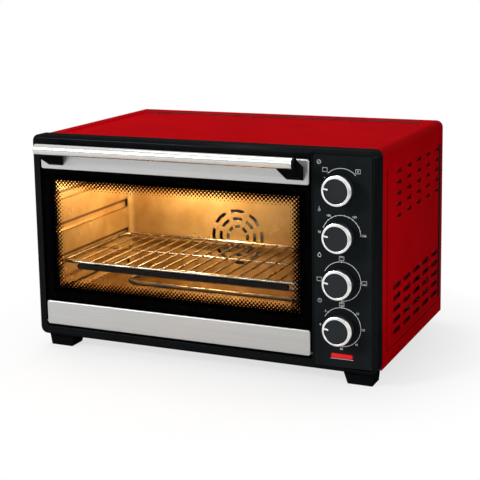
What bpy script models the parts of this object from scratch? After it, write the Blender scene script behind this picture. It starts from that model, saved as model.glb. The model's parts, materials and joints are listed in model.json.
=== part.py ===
"""Countertop electric oven: drop-down glass door, four knobs, wire rack, two heating elements and a fan.

Run it with: blender --background --python part.py

Lengths are metres. Pieces are placed from a datum empty on the front face of the front frame, at the
underside of the case: X runs to the right, Y runs back into the oven and Z up. Each moving piece hangs
from an empty on its joint's axis.
"""

import math
from collections import namedtuple

import bmesh
import bpy
from mathutils import Matrix, Vector

Shape = namedtuple("Shape", "rings looped")
Finish = namedtuple("Finish", "colour roughness metallic transmission", defaults=(0.0,))

# Clearances, shared by every fit
FIT_GAP = 0.0003
PIN_PLAY = 0.0004
RUNNING_GAP = 0.001
CUT_OVERRUN = 0.002
WELD_DISTANCE = 0.000001

# Case
OVEN_WIDTH = 0.520
FRAME_HEIGHT = 0.297
FRAME_DEPTH = 0.025
BODY_DEPTH = 0.302
FOOT_HEIGHT = 0.020

# Front frame
FRAME_CORNER = 0.010
FRAME_BEVEL = 0.0042
FRAME_WALL = 0.003
RAIL_TOP = 0.012
RAIL_BOTTOM = 0.0135
RAIL_SIDE = 0.013
CONTROL_BAY = 0.0895
RECESS_CORNER = 0.005
RECESS_DEPTH = 0.008
FLANGE_THICKNESS = 0.003

# Control panel
PANEL_THICKNESS = 0.0015
PANEL_MARGIN = 0.0067
PANEL_LIP = 0.004
PANEL_CORNER = 0.003

# Outer shell and its pressed faces
SHELL_INSET = 0.0015
SHEET = 0.0008
SHELL_CORNER = 0.010
SHELL_REAR_FLANGE = 0.012
SIDE_PANEL_FRONT = 0.0247
SIDE_PANEL_REAR = 0.010
SIDE_PANEL_BOTTOM = 0.020
SIDE_PANEL_TOP = 0.0205
SIDE_PANEL_DEPTH = 0.0025
TOP_PANEL_FRONT = 0.022
TOP_PANEL_REAR = 0.027
TOP_PANEL_SIDE = 0.0135
TOP_PANEL_DEPTH = 0.0015
PRESS_SLOPE = 0.0025

# Slots and scoops pressed into both sides
LOUVRE_COLUMNS = 5
LOUVRE_ROWS = 5
LOUVRE_BRIDGE = 0.0123
LOUVRE_START = 0.0587
LOUVRE_END = 0.0138
LOUVRE_HEIGHT = 0.0070
SLOT_ROW_PITCH = 0.0158
SLOT_FIRST_ROW = 0.034
SCOOP_LENGTH = 0.022
SCOOP_ROW_PITCH = 0.0154
SCOOP_TOP_DROP = 0.0404

# Rear cover, base and feet
REAR_PAN_DEPTH = 0.0085
VENT_LENGTH = 0.060
VENT_HEIGHT = 0.004
VENT_PITCH = 0.012
VENT_ROWS = 8
VENT_OFFSET = 0.085
VENT_TOP_DROP = 0.0615
BASE_THICKNESS = 0.001
FOOT_LENGTH = 0.042
FOOT_WIDTH = 0.034
FOOT_TAPER_OUTSIDE = 0.0015
FOOT_TAPER_INSIDE = 0.0055
FOOT_TAPER_ENDS = 0.003
FOOT_INSET = 0.009
REAR_FOOT_SHIFT = 0.010
FOOT_SETBACK = 0.012
FOOT_BORE = 0.0050
FOOT_BORE_DEPTH = 0.013

# Screws
SCREW_HEAD = 0.0038
SCREW_HEAD_THICKNESS = 0.0018
SCREW_HEAD_TAPER = 0.0007
SCREW_SHANK = 0.0017
SCREW_HOLE = 0.0020
REAR_SCREW_ROWS = 3
HANDLE_SCREW_LENGTH = 0.013

# Cavity
CAVITY_INSET = 0.0185
CAVITY_LIFT = 0.0105
CAVITY_DROP = 0.021
FAN_BAY = 0.1001
CAVITY_SHEET = 0.0012
CAVITY_FRONT_FLANGE = 0.008
CHANNEL_COUNT = 4
CHANNEL_FIRST = 0.033
CHANNEL_LAST_DROP = 0.0645
CHANNEL_HEIGHT = 0.013
CHANNEL_DEPTH = 0.006
CHANNEL_SLOPE = 0.002
RACK_CHANNEL = 1

# Wire rack
RACK_WIRE = 0.0025
RACK_BAR = 0.0015
RACK_BAR_COUNT = 18
RACK_BAR_INSET = 0.022
RACK_SIDE_PLAY = 0.0013
RACK_SETBACK = 0.0107
RACK_BACK_PLAY = 0.004
RACK_CORNER = 0.012
RACK_TIE_SHARES = (1 / 2,)
RACK_STRIP_HEIGHT = 0.0095
RACK_STRIP_THICKNESS = 0.0020
RACK_STRIP_INSET = 0.0235

# Heating elements
HEATER_RADIUS = 0.0035
HEATER_BEND = 0.025
HEATER_FROM_BACK = 0.078
HEATER_LEFT_CLEARANCE = 0.0585
LOWER_HEATER_LIFT = 0.038
UPPER_HEATER_DROP = 0.018
HEATER_TAIL = 0.009
CERAMIC_RADIUS = 0.006
CERAMIC_MARGIN = 0.0085
CERAMIC_PLATE = 0.003
CERAMIC_LENGTH = 0.016
CLIP_THICKNESS = 0.002
CLIP_MARGIN = 0.0075
CLIP_FROM_RIGHT = 0.047

# Heat shield between the cavity and the controls
SHIELD_OFFSET = 0.0005
SHIELD_TOP_GAP = 0.003

# Oven lamp
LAMP_FROM_BACK = 0.035
LAMP_DROP = 0.0255
LAMP_HOLE = 0.019
LAMP_CAN = 0.021
LAMP_CAN_FLANGE = 0.0235
LAMP_CAN_LENGTH = 0.050
LAMP_COVER_REACH = 0.0025
LAMP_COVER_RIM = 0.0015
LAMP_COVER_WALL = 0.002
BULB_RADIUS = 0.011
BULB_NECK = 0.007
BULB_LENGTH = 0.036
BULB_CAP_LENGTH = 0.014

# Convection fan behind the cavity
FAN_HOUSING_RADIUS = 0.078
FAN_HOUSING_FLANGE = 0.006
FAN_HOUSING_DEPTH = 0.036
FAN_RADIUS = 0.062
FAN_HUB = 0.011
FAN_BLADES = 6
FAN_BLADE_DEPTH = 0.015
FAN_BLADE_THICKNESS = 0.0015
FAN_BLADE_SPAN = 0.020
FAN_FRONT_GAP = 0.009
FAN_DROP = 0.030
FAN_SHAFT = 0.003
FAN_SHAFT_INTO_MOTOR = 0.018
MOTOR_RADIUS = 0.029
MOTOR_LENGTH = 0.034
MOTOR_SHOULDER = 0.006
GRILLE_RINGS = 3
GRILLE_SLOTS = 8
GRILLE_FIRST = 0.014
GRILLE_PITCH = 0.0125
GRILLE_SLOT_WIDTH = 0.005
GRILLE_BRIDGE_SHARE = 0.32

# Door
DOOR_GAP_SIDE = 0.0015
DOOR_GAP_TOP = 0.002
DOOR_GAP_BOTTOM = 0.0045
GLASS_THICKNESS = 0.004
GLASS_PROUD = 0.0005
GLASS_BOTTOM_RISE = 0.0285
TRIM_PROUD = 0.003
TRIM_SHEET = 0.0008
TRIM_INSET_LEFT = 0.0025
TRIM_INSET_RIGHT = 0.0005
TOP_TRIM_HEIGHT = 0.034
BOTTOM_TRIM_HEIGHT = 0.035
TRIM_BACK_HEIGHT = 0.012

# Door hinges
HINGE_BEHIND_FACE = 0.0028
HINGE_ABOVE_DOOR = 0.0028
HINGE_PIN = 0.0014
HINGE_PIN_REACH = 0.0032
HINGE_INSET = 0.0048
HINGE_PLATE = 0.002
HINGE_ARM_RADIUS = 0.020
HINGE_ARM_WIDTH = 0.006
HINGE_TOOTH = 0.003
HINGE_ARM_STEPS = 12
HINGE_TAIL_ANGLE = math.radians(-25)
HINGE_TOOTH_ANGLE = math.radians(9)

# Door handle
HANDLE_RADIUS = 0.0075
HANDLE_STANDOFF = 0.034
HANDLE_BELOW_DOOR_TOP = 0.001
HANDLE_INSET_LEFT = 0.0155
HANDLE_INSET_RIGHT = 0.007
HANDLE_WALL = 0.0012
HANDLE_DISC = 0.0035
HANDLE_SPIGOT = 0.009
BRACKET_WIDTH = 0.024
BRACKET_INSET_LEFT = 0.016
BRACKET_INSET_RIGHT = 0.008
BRACKET_FOOT = 0.018
BRACKET_FOOT_LIFT = 0.006
BRACKET_BACK_REACH = 0.0259
BRACKET_PILOT_DEPTH = 0.009
BRACKET_CREST_SHARE = 0.75
BRACKET_BROW_SHARE = 0.4

# Knobs and what they turn
CONTROL_COUNT = 4
KNOB_COLUMN = 0.0415
KNOB_DROP = 0.0497
KNOB_LIFT = 0.0622
KNOB_RADIUS = 0.0174
KNOB_REACH = 0.024
KNOB_FLARE = 0.003
KNOB_FLARE_LENGTH = 0.0043
KNOB_RING_EDGE = 0.0012
KNOB_BODY = 0.0175
KNOB_BODY_WALL = 0.002
KNOB_RIM = 0.0028
KNOB_RIM_BEVEL = 0.0006
KNOB_FACE_SINK = 0.0015
KNOB_FACE_THICKNESS = 0.002
KNOB_HUB = 0.006
KNOB_HUB_LENGTH = 0.013
KNOB_BASE_GAP = 0.002
POINTER_LENGTH = 0.006
POINTER_WIDTH = 0.0022
POINTER_ANGLE = math.radians(170)
SHAFT_RADIUS = 0.003
SHAFT_FLAT = 0.0008
SHAFT_LENGTH = 0.038
BUSH_RADIUS = 0.005
BUSH_REACH = 0.004
SHAFT_BORE_DEPTH = 0.020

SWITCH_SIZE = 0.030
SWITCH_DEPTH = 0.024
THERMOSTAT_WIDTH = 0.034
THERMOSTAT_HEIGHT = 0.028
THERMOSTAT_DEPTH = 0.022
THERMOSTAT_CAPSULE = 0.010
THERMOSTAT_CAPSULE_DEPTH = 0.007
SELECTOR_SIZE = 0.036
SELECTOR_DEPTH = 0.034
SELECTOR_DECK = 0.004
TIMER_RADIUS = 0.022
TIMER_DEPTH = 0.028
BELL_RADIUS = 0.019
BELL_HEIGHT = 0.009
BELL_WALL = 0.001
BELL_POST = 0.0025
BELL_POST_LENGTH = 0.012

# Indicator
LENS_LENGTH = 0.030
LENS_HEIGHT = 0.0061
LENS_CENTRE_HEIGHT = 0.0224
LENS_PROUD = 0.001
LENS_FLANGE = 0.002
LENS_FLANGE_THICKNESS = 0.0015
NEON_RADIUS = 0.003
NEON_LENGTH = 0.018

# Wiring end
TERMINAL_LENGTH = 0.036
TERMINAL_WIDTH = 0.020
TERMINAL_HEIGHT = 0.016
TERMINAL_WAYS = 3
TERMINAL_BORE = 0.0025
GLAND_RADIUS = 0.006
GLAND_FLANGE = 0.009
GLAND_BORE = 0.0035
GLAND_REACH = 0.010
GLAND_FLANGE_THICKNESS = 0.0025
GLAND_FROM_SIDE = 0.040
GLAND_HEIGHT = 0.040

# How finely round shapes are faceted
ROUND_SIDES = 24
KNOB_SIDES = 32
SMALL_SIDES = 12
HOLE_SIDES = 6
WIRE_SIDES = 8
BAR_SIDES = 6
HEATER_SIDES = 8
BEND_STEPS = 8
CORNER_STEPS = 4
DOME_STEPS = 3
SHARP_ANGLE = math.radians(35)

BLACK_PLASTIC = Finish("16191B", 0.32, 0.0)
PANEL_BLACK = Finish("1E2224", 0.30, 0.0)
RED_ENAMEL = Finish("B4000C", 0.32, 0.1)
GALVANISED = Finish("A9ADAF", 0.45, 0.9)
CAVITY_STEEL = Finish("B98C50", 0.38, 0.8)
BRUSHED_STEEL = Finish("D3D4D4", 0.30, 1.0)
DOOR_GLASS = Finish("2A2A28", 0.05, 0.0, 0.85)
KNOB_SILVER = Finish("D9DADA", 0.22, 0.9)
KNOB_BLACK = Finish("2B3033", 0.45, 0.0)
RACK_WIRE_FINISH = Finish("8E8C88", 0.28, 1.0)
HEATER_SHEATH = Finish("6E6258", 0.50, 0.7)
CERAMIC = Finish("E6E0D2", 0.60, 0.0)
CLEAR_GLASS = Finish("F4EBD8", 0.05, 0.0, 0.9)
LENS_RED = Finish("D4000C", 0.20, 0.0, 0.3)
BRASS = Finish("B8964A", 0.30, 1.0)
SWITCH_BROWN = Finish("4A3526", 0.50, 0.0)
FOOT_RUBBER = Finish("141414", 0.70, 0.0)
SCREW_STEEL = Finish("8B8E90", 0.35, 1.0)
MOTOR_STEEL = Finish("7C8286", 0.40, 0.9)

# Places that several pieces share
HALF_WIDTH = OVEN_WIDTH / 2
RECESS_LEFT = -HALF_WIDTH + RAIL_SIDE
RECESS_RIGHT = HALF_WIDTH - CONTROL_BAY
RECESS_BOTTOM = RAIL_BOTTOM
RECESS_TOP = FRAME_HEIGHT - RAIL_TOP
RECESS_CENTRE = (RECESS_LEFT + RECESS_RIGHT) / 2
FLANGE_BACK = RECESS_DEPTH + FLANGE_THICKNESS

PANEL_LEFT = RECESS_RIGHT + FRAME_WALL + FIT_GAP
PANEL_RIGHT = HALF_WIDTH - PANEL_MARGIN
PANEL_BOTTOM = PANEL_MARGIN
PANEL_TOP = FRAME_HEIGHT - PANEL_MARGIN

SHELL_HALF = HALF_WIDTH - SHELL_INSET
SHELL_TOP = FRAME_HEIGHT - SHELL_INSET
SHELL_FRONT = FRAME_DEPTH + FIT_GAP
SHELL_BACK = FRAME_DEPTH + BODY_DEPTH
SHELL_INNER_HALF = SHELL_HALF - SHEET - FIT_GAP
REAR_PLATE_BACK = SHELL_BACK - SHEET - FIT_GAP
REAR_PLATE_FRONT = REAR_PLATE_BACK - SHEET
REAR_PAN_FRONT = REAR_PLATE_BACK - REAR_PAN_DEPTH
LOUVRE_SPAN = SHELL_BACK - LOUVRE_END - SHELL_FRONT - LOUVRE_START
LOUVRE_PITCH = (LOUVRE_SPAN + LOUVRE_BRIDGE) / LOUVRE_COLUMNS
SLOT_LENGTH = LOUVRE_PITCH - LOUVRE_BRIDGE
SCOOP_FIRST_ROW = SHELL_TOP - SCOOP_TOP_DROP - (LOUVRE_ROWS - 1) * SCOOP_ROW_PITCH
VENT_FIRST_ROW = SHELL_TOP - VENT_TOP_DROP - (VENT_ROWS - 1) * VENT_PITCH

CAVITY_LEFT = RECESS_LEFT + CAVITY_INSET
CAVITY_RIGHT = RECESS_RIGHT - CAVITY_INSET
CAVITY_FLOOR = RECESS_BOTTOM + CAVITY_LIFT
CAVITY_ROOF = RECESS_TOP - CAVITY_DROP
CAVITY_FRONT = FLANGE_BACK + FIT_GAP
CAVITY_BACK = REAR_PLATE_FRONT - FAN_BAY
RIGHT_WALL_OUTSIDE = CAVITY_RIGHT + CAVITY_SHEET
CHANNEL_REACH = CHANNEL_DEPTH + FIT_GAP
CHANNEL_SPAN = CAVITY_ROOF - CHANNEL_LAST_DROP - CAVITY_FLOOR - CHANNEL_FIRST
CHANNEL_PITCH = CHANNEL_SPAN / (CHANNEL_COUNT - 1)
LOWER_HEATER_Z = CAVITY_FLOOR + LOWER_HEATER_LIFT
UPPER_HEATER_Z = CAVITY_ROOF - UPPER_HEATER_DROP
HEATER_FAR_Y = CAVITY_BACK - HEATER_FROM_BACK
HEATER_NEAR_Y = HEATER_FAR_Y - 2 * HEATER_BEND
SHIELD_LEFT = RECESS_RIGHT + SHIELD_OFFSET
SHIELD_RIGHT = SHIELD_LEFT + CAVITY_SHEET
LAMP_Y = CAVITY_BACK - LAMP_FROM_BACK
LAMP_Z = CAVITY_ROOF - LAMP_DROP
CLIP_X = CAVITY_RIGHT - CLIP_FROM_RIGHT

FAN_Z = (CAVITY_FLOOR + CAVITY_ROOF) / 2 - FAN_DROP
FAN_CHAMBER_FRONT = CAVITY_BACK + CAVITY_SHEET + FIT_GAP
FAN_CHAMBER_BACK = FAN_CHAMBER_FRONT + FAN_HOUSING_DEPTH
FAN_BLADE_FRONT = FAN_CHAMBER_FRONT + FAN_FRONT_GAP
MOTOR_FRONT = FAN_CHAMBER_BACK + FIT_GAP

DOOR_LEFT = RECESS_LEFT + DOOR_GAP_SIDE
DOOR_RIGHT = RECESS_RIGHT - DOOR_GAP_SIDE
DOOR_BOTTOM = RECESS_BOTTOM + DOOR_GAP_BOTTOM
DOOR_TOP = RECESS_TOP - DOOR_GAP_TOP
GLASS_FRONT = -GLASS_PROUD
GLASS_BACK = GLASS_FRONT + GLASS_THICKNESS
GLASS_BOTTOM = DOOR_BOTTOM + GLASS_BOTTOM_RISE
GLASS_TOP = DOOR_TOP - TRIM_SHEET - FIT_GAP
TRIM_LEFT = DOOR_LEFT + TRIM_INSET_LEFT
TRIM_RIGHT = DOOR_RIGHT - TRIM_INSET_RIGHT
TRIM_SKIN_BACK = -TRIM_PROUD + TRIM_SHEET
TRIM_BACK = GLASS_BACK + FIT_GAP + TRIM_SHEET
HINGE_Y = HINGE_BEHIND_FACE
HINGE_Z = DOOR_BOTTOM + HINGE_ABOVE_DOOR
HINGE_LEFT_X = DOOR_LEFT + HINGE_INSET
HINGE_RIGHT_X = DOOR_RIGHT - HINGE_INSET

HANDLE_Z = DOOR_TOP - HANDLE_BELOW_DOOR_TOP
HANDLE_LEFT = DOOR_LEFT + HANDLE_INSET_LEFT
HANDLE_RIGHT = DOOR_RIGHT - HANDLE_INSET_RIGHT
BRACKET_BOTTOM = DOOR_TOP - TOP_TRIM_HEIGHT + BRACKET_FOOT_LIFT
HANDLE_SCREW_Z = BRACKET_BOTTOM + BRACKET_FOOT / 2

KNOB_X = RECESS_RIGHT + KNOB_COLUMN
KNOB_TOP_Z = FRAME_HEIGHT - KNOB_DROP
KNOB_PITCH = (KNOB_TOP_Z - KNOB_LIFT) / (CONTROL_COUNT - 1)
KNOB_ZS = [KNOB_TOP_Z - index * KNOB_PITCH for index in range(CONTROL_COUNT)]
PANEL_BACK = PANEL_THICKNESS + FIT_GAP
LENS_X = KNOB_X
GLAND_X = HALF_WIDTH - GLAND_FROM_SIDE

FRONT_REACH = HANDLE_STANDOFF + HANDLE_RADIUS
REAR_REACH = SHELL_BACK + GLAND_REACH
FACE_Y = (FRONT_REACH - REAR_REACH) / 2


# Shapes


def place(axis, u, v, along):
    """Return the point at u, v in the plane square to the axis, and at a length along it."""
    if axis == "X":
        return (along, u, v)
    if axis == "Y":
        return (u, along, v)
    return (u, v, along)


def rectangle(u0, u1, v0, v1):
    return [(u0, v0), (u1, v0), (u1, v1), (u0, v1)]


def rounded(u0, u1, v0, v1, radius, steps=CORNER_STEPS):
    """Return a rectangle with round corners."""
    centres = rectangle(u0 + radius, u1 - radius, v0 + radius, v1 - radius)
    points = []
    for quarter, (u, v) in enumerate(centres):
        for step in range(steps + 1):
            angle = math.pi + (quarter + step / steps) * math.pi / 2
            points.append((u + radius * math.cos(angle), v + radius * math.sin(angle)))
    return points


def circle(u, v, radius, sides):
    angles = [2 * math.pi * side / sides for side in range(sides)]
    return [(u + radius * math.cos(angle), v + radius * math.sin(angle)) for angle in angles]


def slot(u, v, length, height):
    """Return a long slot with pointed ends."""
    point = height / 2
    half = length / 2
    return [
        (u - half, v),
        (u - half + point, v - point),
        (u + half - point, v - point),
        (u + half, v),
        (u + half - point, v + point),
        (u - half + point, v + point),
    ]


def scoop(u, v, length, height):
    """Return the three-cornered mouth of a pressed scoop, which narrows towards the front."""
    half = length / 2
    return [(u - half, v), (u + half, v - height / 2), (u + half, v + height / 2)]


def sheet_line(path, thickness):
    """Return the outline of a bent sheet whose one face follows the path, thickened to the path's left."""
    line = [Vector(point) for point in path]
    far_side = []
    for index, point in enumerate(line):
        runs = []
        if index > 0:
            runs.append((point - line[index - 1]).normalized())
        if index < len(line) - 1:
            runs.append((line[index + 1] - point).normalized())
        normals = [Vector((-run.y, run.x)) for run in runs]
        middle = sum(normals, Vector((0, 0))).normalized()
        far_side.append(point + middle * thickness / middle.dot(normals[0]))
    return [tuple(point) for point in line + far_side[::-1]]


def mirrored(outline, centre):
    return [(2 * centre - u, v) for u, v in outline]


def loft(axis, *sections):
    """Return the shape that runs through outlines, each given with its place along the axis."""
    rings = [[place(axis, u, v, along) for u, v in outline] for along, outline in sections]
    return Shape(rings, False)


def prism(axis, outline, start, end):
    return loft(axis, (start, outline), (end, outline))


def block(x0, x1, y0, y1, z0, z1):
    return prism("Z", rectangle(x0, x1, y0, y1), z0, z1)


def rod(axis, u, v, radius, start, end, sides=ROUND_SIDES):
    return prism(axis, circle(u, v, radius, sides), start, end)


def stepped_rod(axis, u, v, steps, sides=ROUND_SIDES):
    """Return a solid turned shape from pairs of a place along the axis and a radius."""
    return loft(axis, *[(along, circle(u, v, radius, sides)) for along, radius in steps])


def turned(axis, u, v, profile, sides=ROUND_SIDES):
    """Return the ring swept by a closed profile of places along the axis and radii."""
    rings = []
    for side in range(sides):
        angle = 2 * math.pi * side / sides
        rings.append(
            [place(axis, u + r * math.cos(angle), v + r * math.sin(angle), along) for along, r in profile]
        )
    return Shape(rings, True)


def swept(path, radius, sides=WIRE_SIDES, looped=False):
    """Return a round tube along a path of points, its sections carried on without twist."""
    points = [Vector(point) for point in path]
    count = len(points)
    side = None
    rings = []
    for index, point in enumerate(points):
        before = points[index - 1] if looped or index > 0 else point
        after = points[(index + 1) % count] if looped or index < count - 1 else point
        run = (after - before).normalized()
        if side is None:
            side = run.orthogonal().normalized()
        side = (side - run * side.dot(run)).normalized()
        across = run.cross(side)
        turns = [2 * math.pi * step / sides for step in range(sides)]
        rings.append(
            [point + radius * (math.cos(turn) * side + math.sin(turn) * across) for turn in turns]
        )
    return Shape(rings, looped)


# Objects

datum = None


def link(name, data):
    obj = bpy.data.objects.new(name, data)
    bpy.context.scene.collection.objects.link(obj)
    obj.parent = datum
    return obj


def pivot(name, x, y, z):
    """Return an empty on a joint's axis, for the moving pieces to hang from."""
    empty = link(name, None)
    empty.location = (x, y, z)
    return empty


def skin(bm, shape):
    """Cover a shape's rings with faces, and close its ends unless the rings meet."""
    rings = [[bm.verts.new(point) for point in ring] for ring in shape.rings]
    pairs = list(zip(rings, rings[1:]))
    if shape.looped:
        pairs.append((rings[-1], rings[0]))
    else:
        bm.faces.new(rings[0])
        bm.faces.new(rings[-1])
    for near, far in pairs:
        for index in range(len(near)):
            following = (index + 1) % len(near)
            bm.faces.new((near[index], near[following], far[following], far[index]))


def mesh_object(name, bm):
    bmesh.ops.recalc_face_normals(bm, faces=bm.faces)
    mesh = bpy.data.meshes.new(name)
    bm.to_mesh(mesh)
    bm.free()
    return link(name, mesh)


def solid(name, *shapes):
    bm = bmesh.new()
    for shape in shapes:
        skin(bm, shape)
    return mesh_object(name, bm)


def combine(target, operation, shapes):
    """Add a Boolean whose tool is made of the shapes, which stand clear of each other."""
    tool = solid(f"{target.name}_{operation.lower()}_{len(target.modifiers)}", *shapes)
    tool.hide_render = True
    tool.display_type = "WIRE"
    modifier = target.modifiers.new(operation.capitalize(), "BOOLEAN")
    modifier.operation = operation
    modifier.object = tool


def cut(target, *shapes):
    combine(target, "DIFFERENCE", shapes)


def join(target, *shapes):
    combine(target, "UNION", shapes)


def linear(colour):
    """Turn an sRGB hex colour into linear components with full alpha."""
    levels = [int(colour[index : index + 2], 16) / 255 for index in (0, 2, 4)]
    return [
        level / 12.92 if level <= 0.04045 else ((level + 0.055) / 1.055) ** 2.4 for level in levels
    ] + [1.0]


def dress(obj, finish, smooth=True):
    """Give an object its own material, and shade its round faces smooth."""
    material = bpy.data.materials.new(obj.name)
    material.use_nodes = True
    shader = material.node_tree.nodes["Principled BSDF"]
    shader.inputs["Base Color"].default_value = linear(finish.colour)
    shader.inputs["Roughness"].default_value = finish.roughness
    shader.inputs["Metallic"].default_value = finish.metallic
    shader.inputs["Transmission Weight"].default_value = finish.transmission
    material.diffuse_color = linear(finish.colour)
    obj.data.materials.append(material)
    if smooth:
        obj.data.shade_smooth()
        obj.data.set_sharp_from_angle(angle=SHARP_ANGLE)
    return obj


def hang(obj, axis_empty):
    """Move an object's origin onto a joint's axis and hang it there."""
    obj.data.transform(Matrix.Translation(-axis_empty.location))
    obj.parent = axis_empty
    return obj


# Front frame and control panel


def build_front_frame():
    """The moulded bezel: a recess for the door, a seat for the control panel, hollow from behind."""
    front = rounded(
        -HALF_WIDTH + FRAME_BEVEL,
        HALF_WIDTH - FRAME_BEVEL,
        FRAME_BEVEL,
        FRAME_HEIGHT - FRAME_BEVEL,
        FRAME_CORNER - FRAME_BEVEL,
    )
    outside = rounded(-HALF_WIDTH, HALF_WIDTH, 0, FRAME_HEIGHT, FRAME_CORNER)
    frame = solid(
        "front_frame", loft("Y", (0, front), (FRAME_BEVEL, outside), (FRAME_DEPTH, outside))
    )
    recess = rounded(RECESS_LEFT, RECESS_RIGHT, RECESS_BOTTOM, RECESS_TOP, RECESS_CORNER)
    cut(frame, prism("Y", recess, -CUT_OVERRUN, RECESS_DEPTH))
    hollow_left = -HALF_WIDTH + FRAME_WALL
    hollow_right = HALF_WIDTH - FRAME_WALL
    hollow_top = FRAME_HEIGHT - FRAME_WALL
    corner = FRAME_CORNER - FRAME_WALL
    behind_door = rounded(hollow_left, RECESS_RIGHT, FRAME_WALL, hollow_top, corner)
    behind_panel = rounded(RECESS_RIGHT + FRAME_WALL, hollow_right, FRAME_WALL, hollow_top, corner)
    cut(
        frame,
        prism("Y", behind_door, FLANGE_BACK, FRAME_DEPTH + CUT_OVERRUN),
        prism("Y", behind_panel, FRAME_WALL, FRAME_DEPTH + CUT_OVERRUN),
    )
    mouth = rectangle(
        CAVITY_LEFT - CHANNEL_REACH, CAVITY_RIGHT + CHANNEL_REACH, CAVITY_FLOOR, CAVITY_ROOF
    )
    cut(frame, prism("Y", mouth, RECESS_DEPTH - CUT_OVERRUN, FLANGE_BACK + CUT_OVERRUN))
    cut(frame, *hinge_arm_slots())
    seat = rounded(
        PANEL_LEFT - FIT_GAP,
        PANEL_RIGHT + FIT_GAP,
        PANEL_BOTTOM - FIT_GAP,
        PANEL_TOP + FIT_GAP,
        PANEL_CORNER,
    )
    cut(frame, prism("Y", seat, -CUT_OVERRUN, PANEL_BACK))
    window = rectangle(
        PANEL_LEFT + PANEL_LIP,
        PANEL_RIGHT - PANEL_LIP,
        PANEL_BOTTOM + PANEL_LIP,
        PANEL_TOP - PANEL_LIP,
    )
    cut(frame, prism("Y", window, PANEL_BACK - CUT_OVERRUN, FRAME_WALL + CUT_OVERRUN))
    bore = HINGE_PIN + PIN_PLAY
    pin_end = HINGE_PIN_REACH + RUNNING_GAP
    cut(
        frame,
        rod("X", HINGE_Y, HINGE_Z, bore, RECESS_LEFT - pin_end, RECESS_LEFT + CUT_OVERRUN, SMALL_SIDES),
        rod(
            "X",
            HINGE_Y,
            HINGE_Z,
            bore,
            RECESS_RIGHT - CUT_OVERRUN,
            RECESS_RIGHT + FRAME_WALL + FIT_GAP,
            SMALL_SIDES,
        ),
    )
    dress(frame, BLACK_PLASTIC)


def hinge_arm_slots():
    """Return the two slots in the door recess's back that the hinge arms slide through."""
    inner = HINGE_ARM_RADIUS - HINGE_ARM_WIDTH / 2
    outer = HINGE_ARM_RADIUS + HINGE_ARM_WIDTH / 2
    low = HINGE_Z + math.sqrt(inner**2 - (FLANGE_BACK - HINGE_Y) ** 2) - RUNNING_GAP
    high = HINGE_Z + math.sqrt(outer**2 - (RECESS_DEPTH - HINGE_Y) ** 2) + RUNNING_GAP
    half = HINGE_PLATE / 2 + RUNNING_GAP
    return [
        block(
            x - half, x + half, RECESS_DEPTH - CUT_OVERRUN, FLANGE_BACK + CUT_OVERRUN, low, high
        )
        for x in (HINGE_LEFT_X, HINGE_RIGHT_X)
    ]


def build_control_panel():
    """The flat plate that lies flush in the frame and carries the four controls and the indicator."""
    outline = rounded(
        PANEL_LEFT, PANEL_RIGHT, PANEL_BOTTOM, PANEL_TOP, PANEL_CORNER - FIT_GAP
    )
    panel = solid("control_panel", prism("Y", outline, 0, PANEL_THICKNESS))
    holes = [
        rod(
            "Y",
            KNOB_X,
            z,
            BUSH_RADIUS + FIT_GAP,
            -CUT_OVERRUN,
            PANEL_THICKNESS + CUT_OVERRUN,
            SMALL_SIDES,
        )
        for z in KNOB_ZS
    ]
    lens_hole = lens_outline(FIT_GAP)
    cut(panel, *holes, prism("Y", lens_hole, -CUT_OVERRUN, PANEL_THICKNESS + CUT_OVERRUN))
    dress(panel, PANEL_BLACK)


def lens_outline(grow):
    half = LENS_LENGTH / 2 + grow
    rise = LENS_HEIGHT / 2 + grow
    return rectangle(
        LENS_X - half, LENS_X + half, LENS_CENTRE_HEIGHT - rise, LENS_CENTRE_HEIGHT + rise
    )


# Outer shell


def pressed_face(bm, to_point, edge, margins, depth):
    """Add a sheet face with a shallow panel pressed into it.

    to_point turns two lengths in the face and a length inwards into a point. edge holds the face's
    lowest and highest place both ways, and margins the bare borders at those four edges.
    """
    a0, a1, b0, b1 = edge
    near_a, far_a, near_b, far_b = margins
    loops = []
    for slope, inwards in ((None, 0), (0, 0), (PRESS_SLOPE, depth)):
        if slope is None:
            corners = rectangle(a0, a1, b0, b1)
        else:
            corners = rectangle(
                a0 + near_a + slope, a1 - far_a - slope, b0 + near_b + slope, b1 - far_b - slope
            )
        loops.append([bm.verts.new(to_point(a, b, inwards)) for a, b in corners])
    for outer, inner in zip(loops, loops[1:]):
        for index in range(4):
            following = (index + 1) % 4
            bm.faces.new((outer[index], outer[following], inner[following], inner[index]))
    bm.faces.new(loops[-1])


def shell_corner(bm, side):
    """Add the rounded top edge of the shell on one side, and its share of the rear flange."""
    steps = CORNER_STEPS
    centre_x = SHELL_HALF - SHELL_CORNER
    centre_z = SHELL_TOP - SHELL_CORNER
    flange_corner = bm.verts.new(
        (side * (SHELL_HALF - SHELL_REAR_FLANGE), SHELL_BACK, SHELL_TOP - SHELL_REAR_FLANGE)
    )
    rows = []
    for step in range(steps + 1):
        angle = math.pi / 2 * step / steps
        x = side * (centre_x + SHELL_CORNER * math.cos(angle))
        z = centre_z + SHELL_CORNER * math.sin(angle)
        rows.append([bm.verts.new((x, y, z)) for y in (SHELL_FRONT, SHELL_BACK)])
    for low, high in zip(rows, rows[1:]):
        bm.faces.new((low[0], low[1], high[1], high[0]))
        bm.faces.new((low[1], high[1], flange_corner))
    low_inside = bm.verts.new((side * (SHELL_HALF - SHELL_REAR_FLANGE), SHELL_BACK, 0))
    low_outside = bm.verts.new((side * SHELL_HALF, SHELL_BACK, 0))
    bm.faces.new((low_outside, low_inside, flange_corner, rows[0][1]))
    return flange_corner, rows[-1][1]


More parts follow.
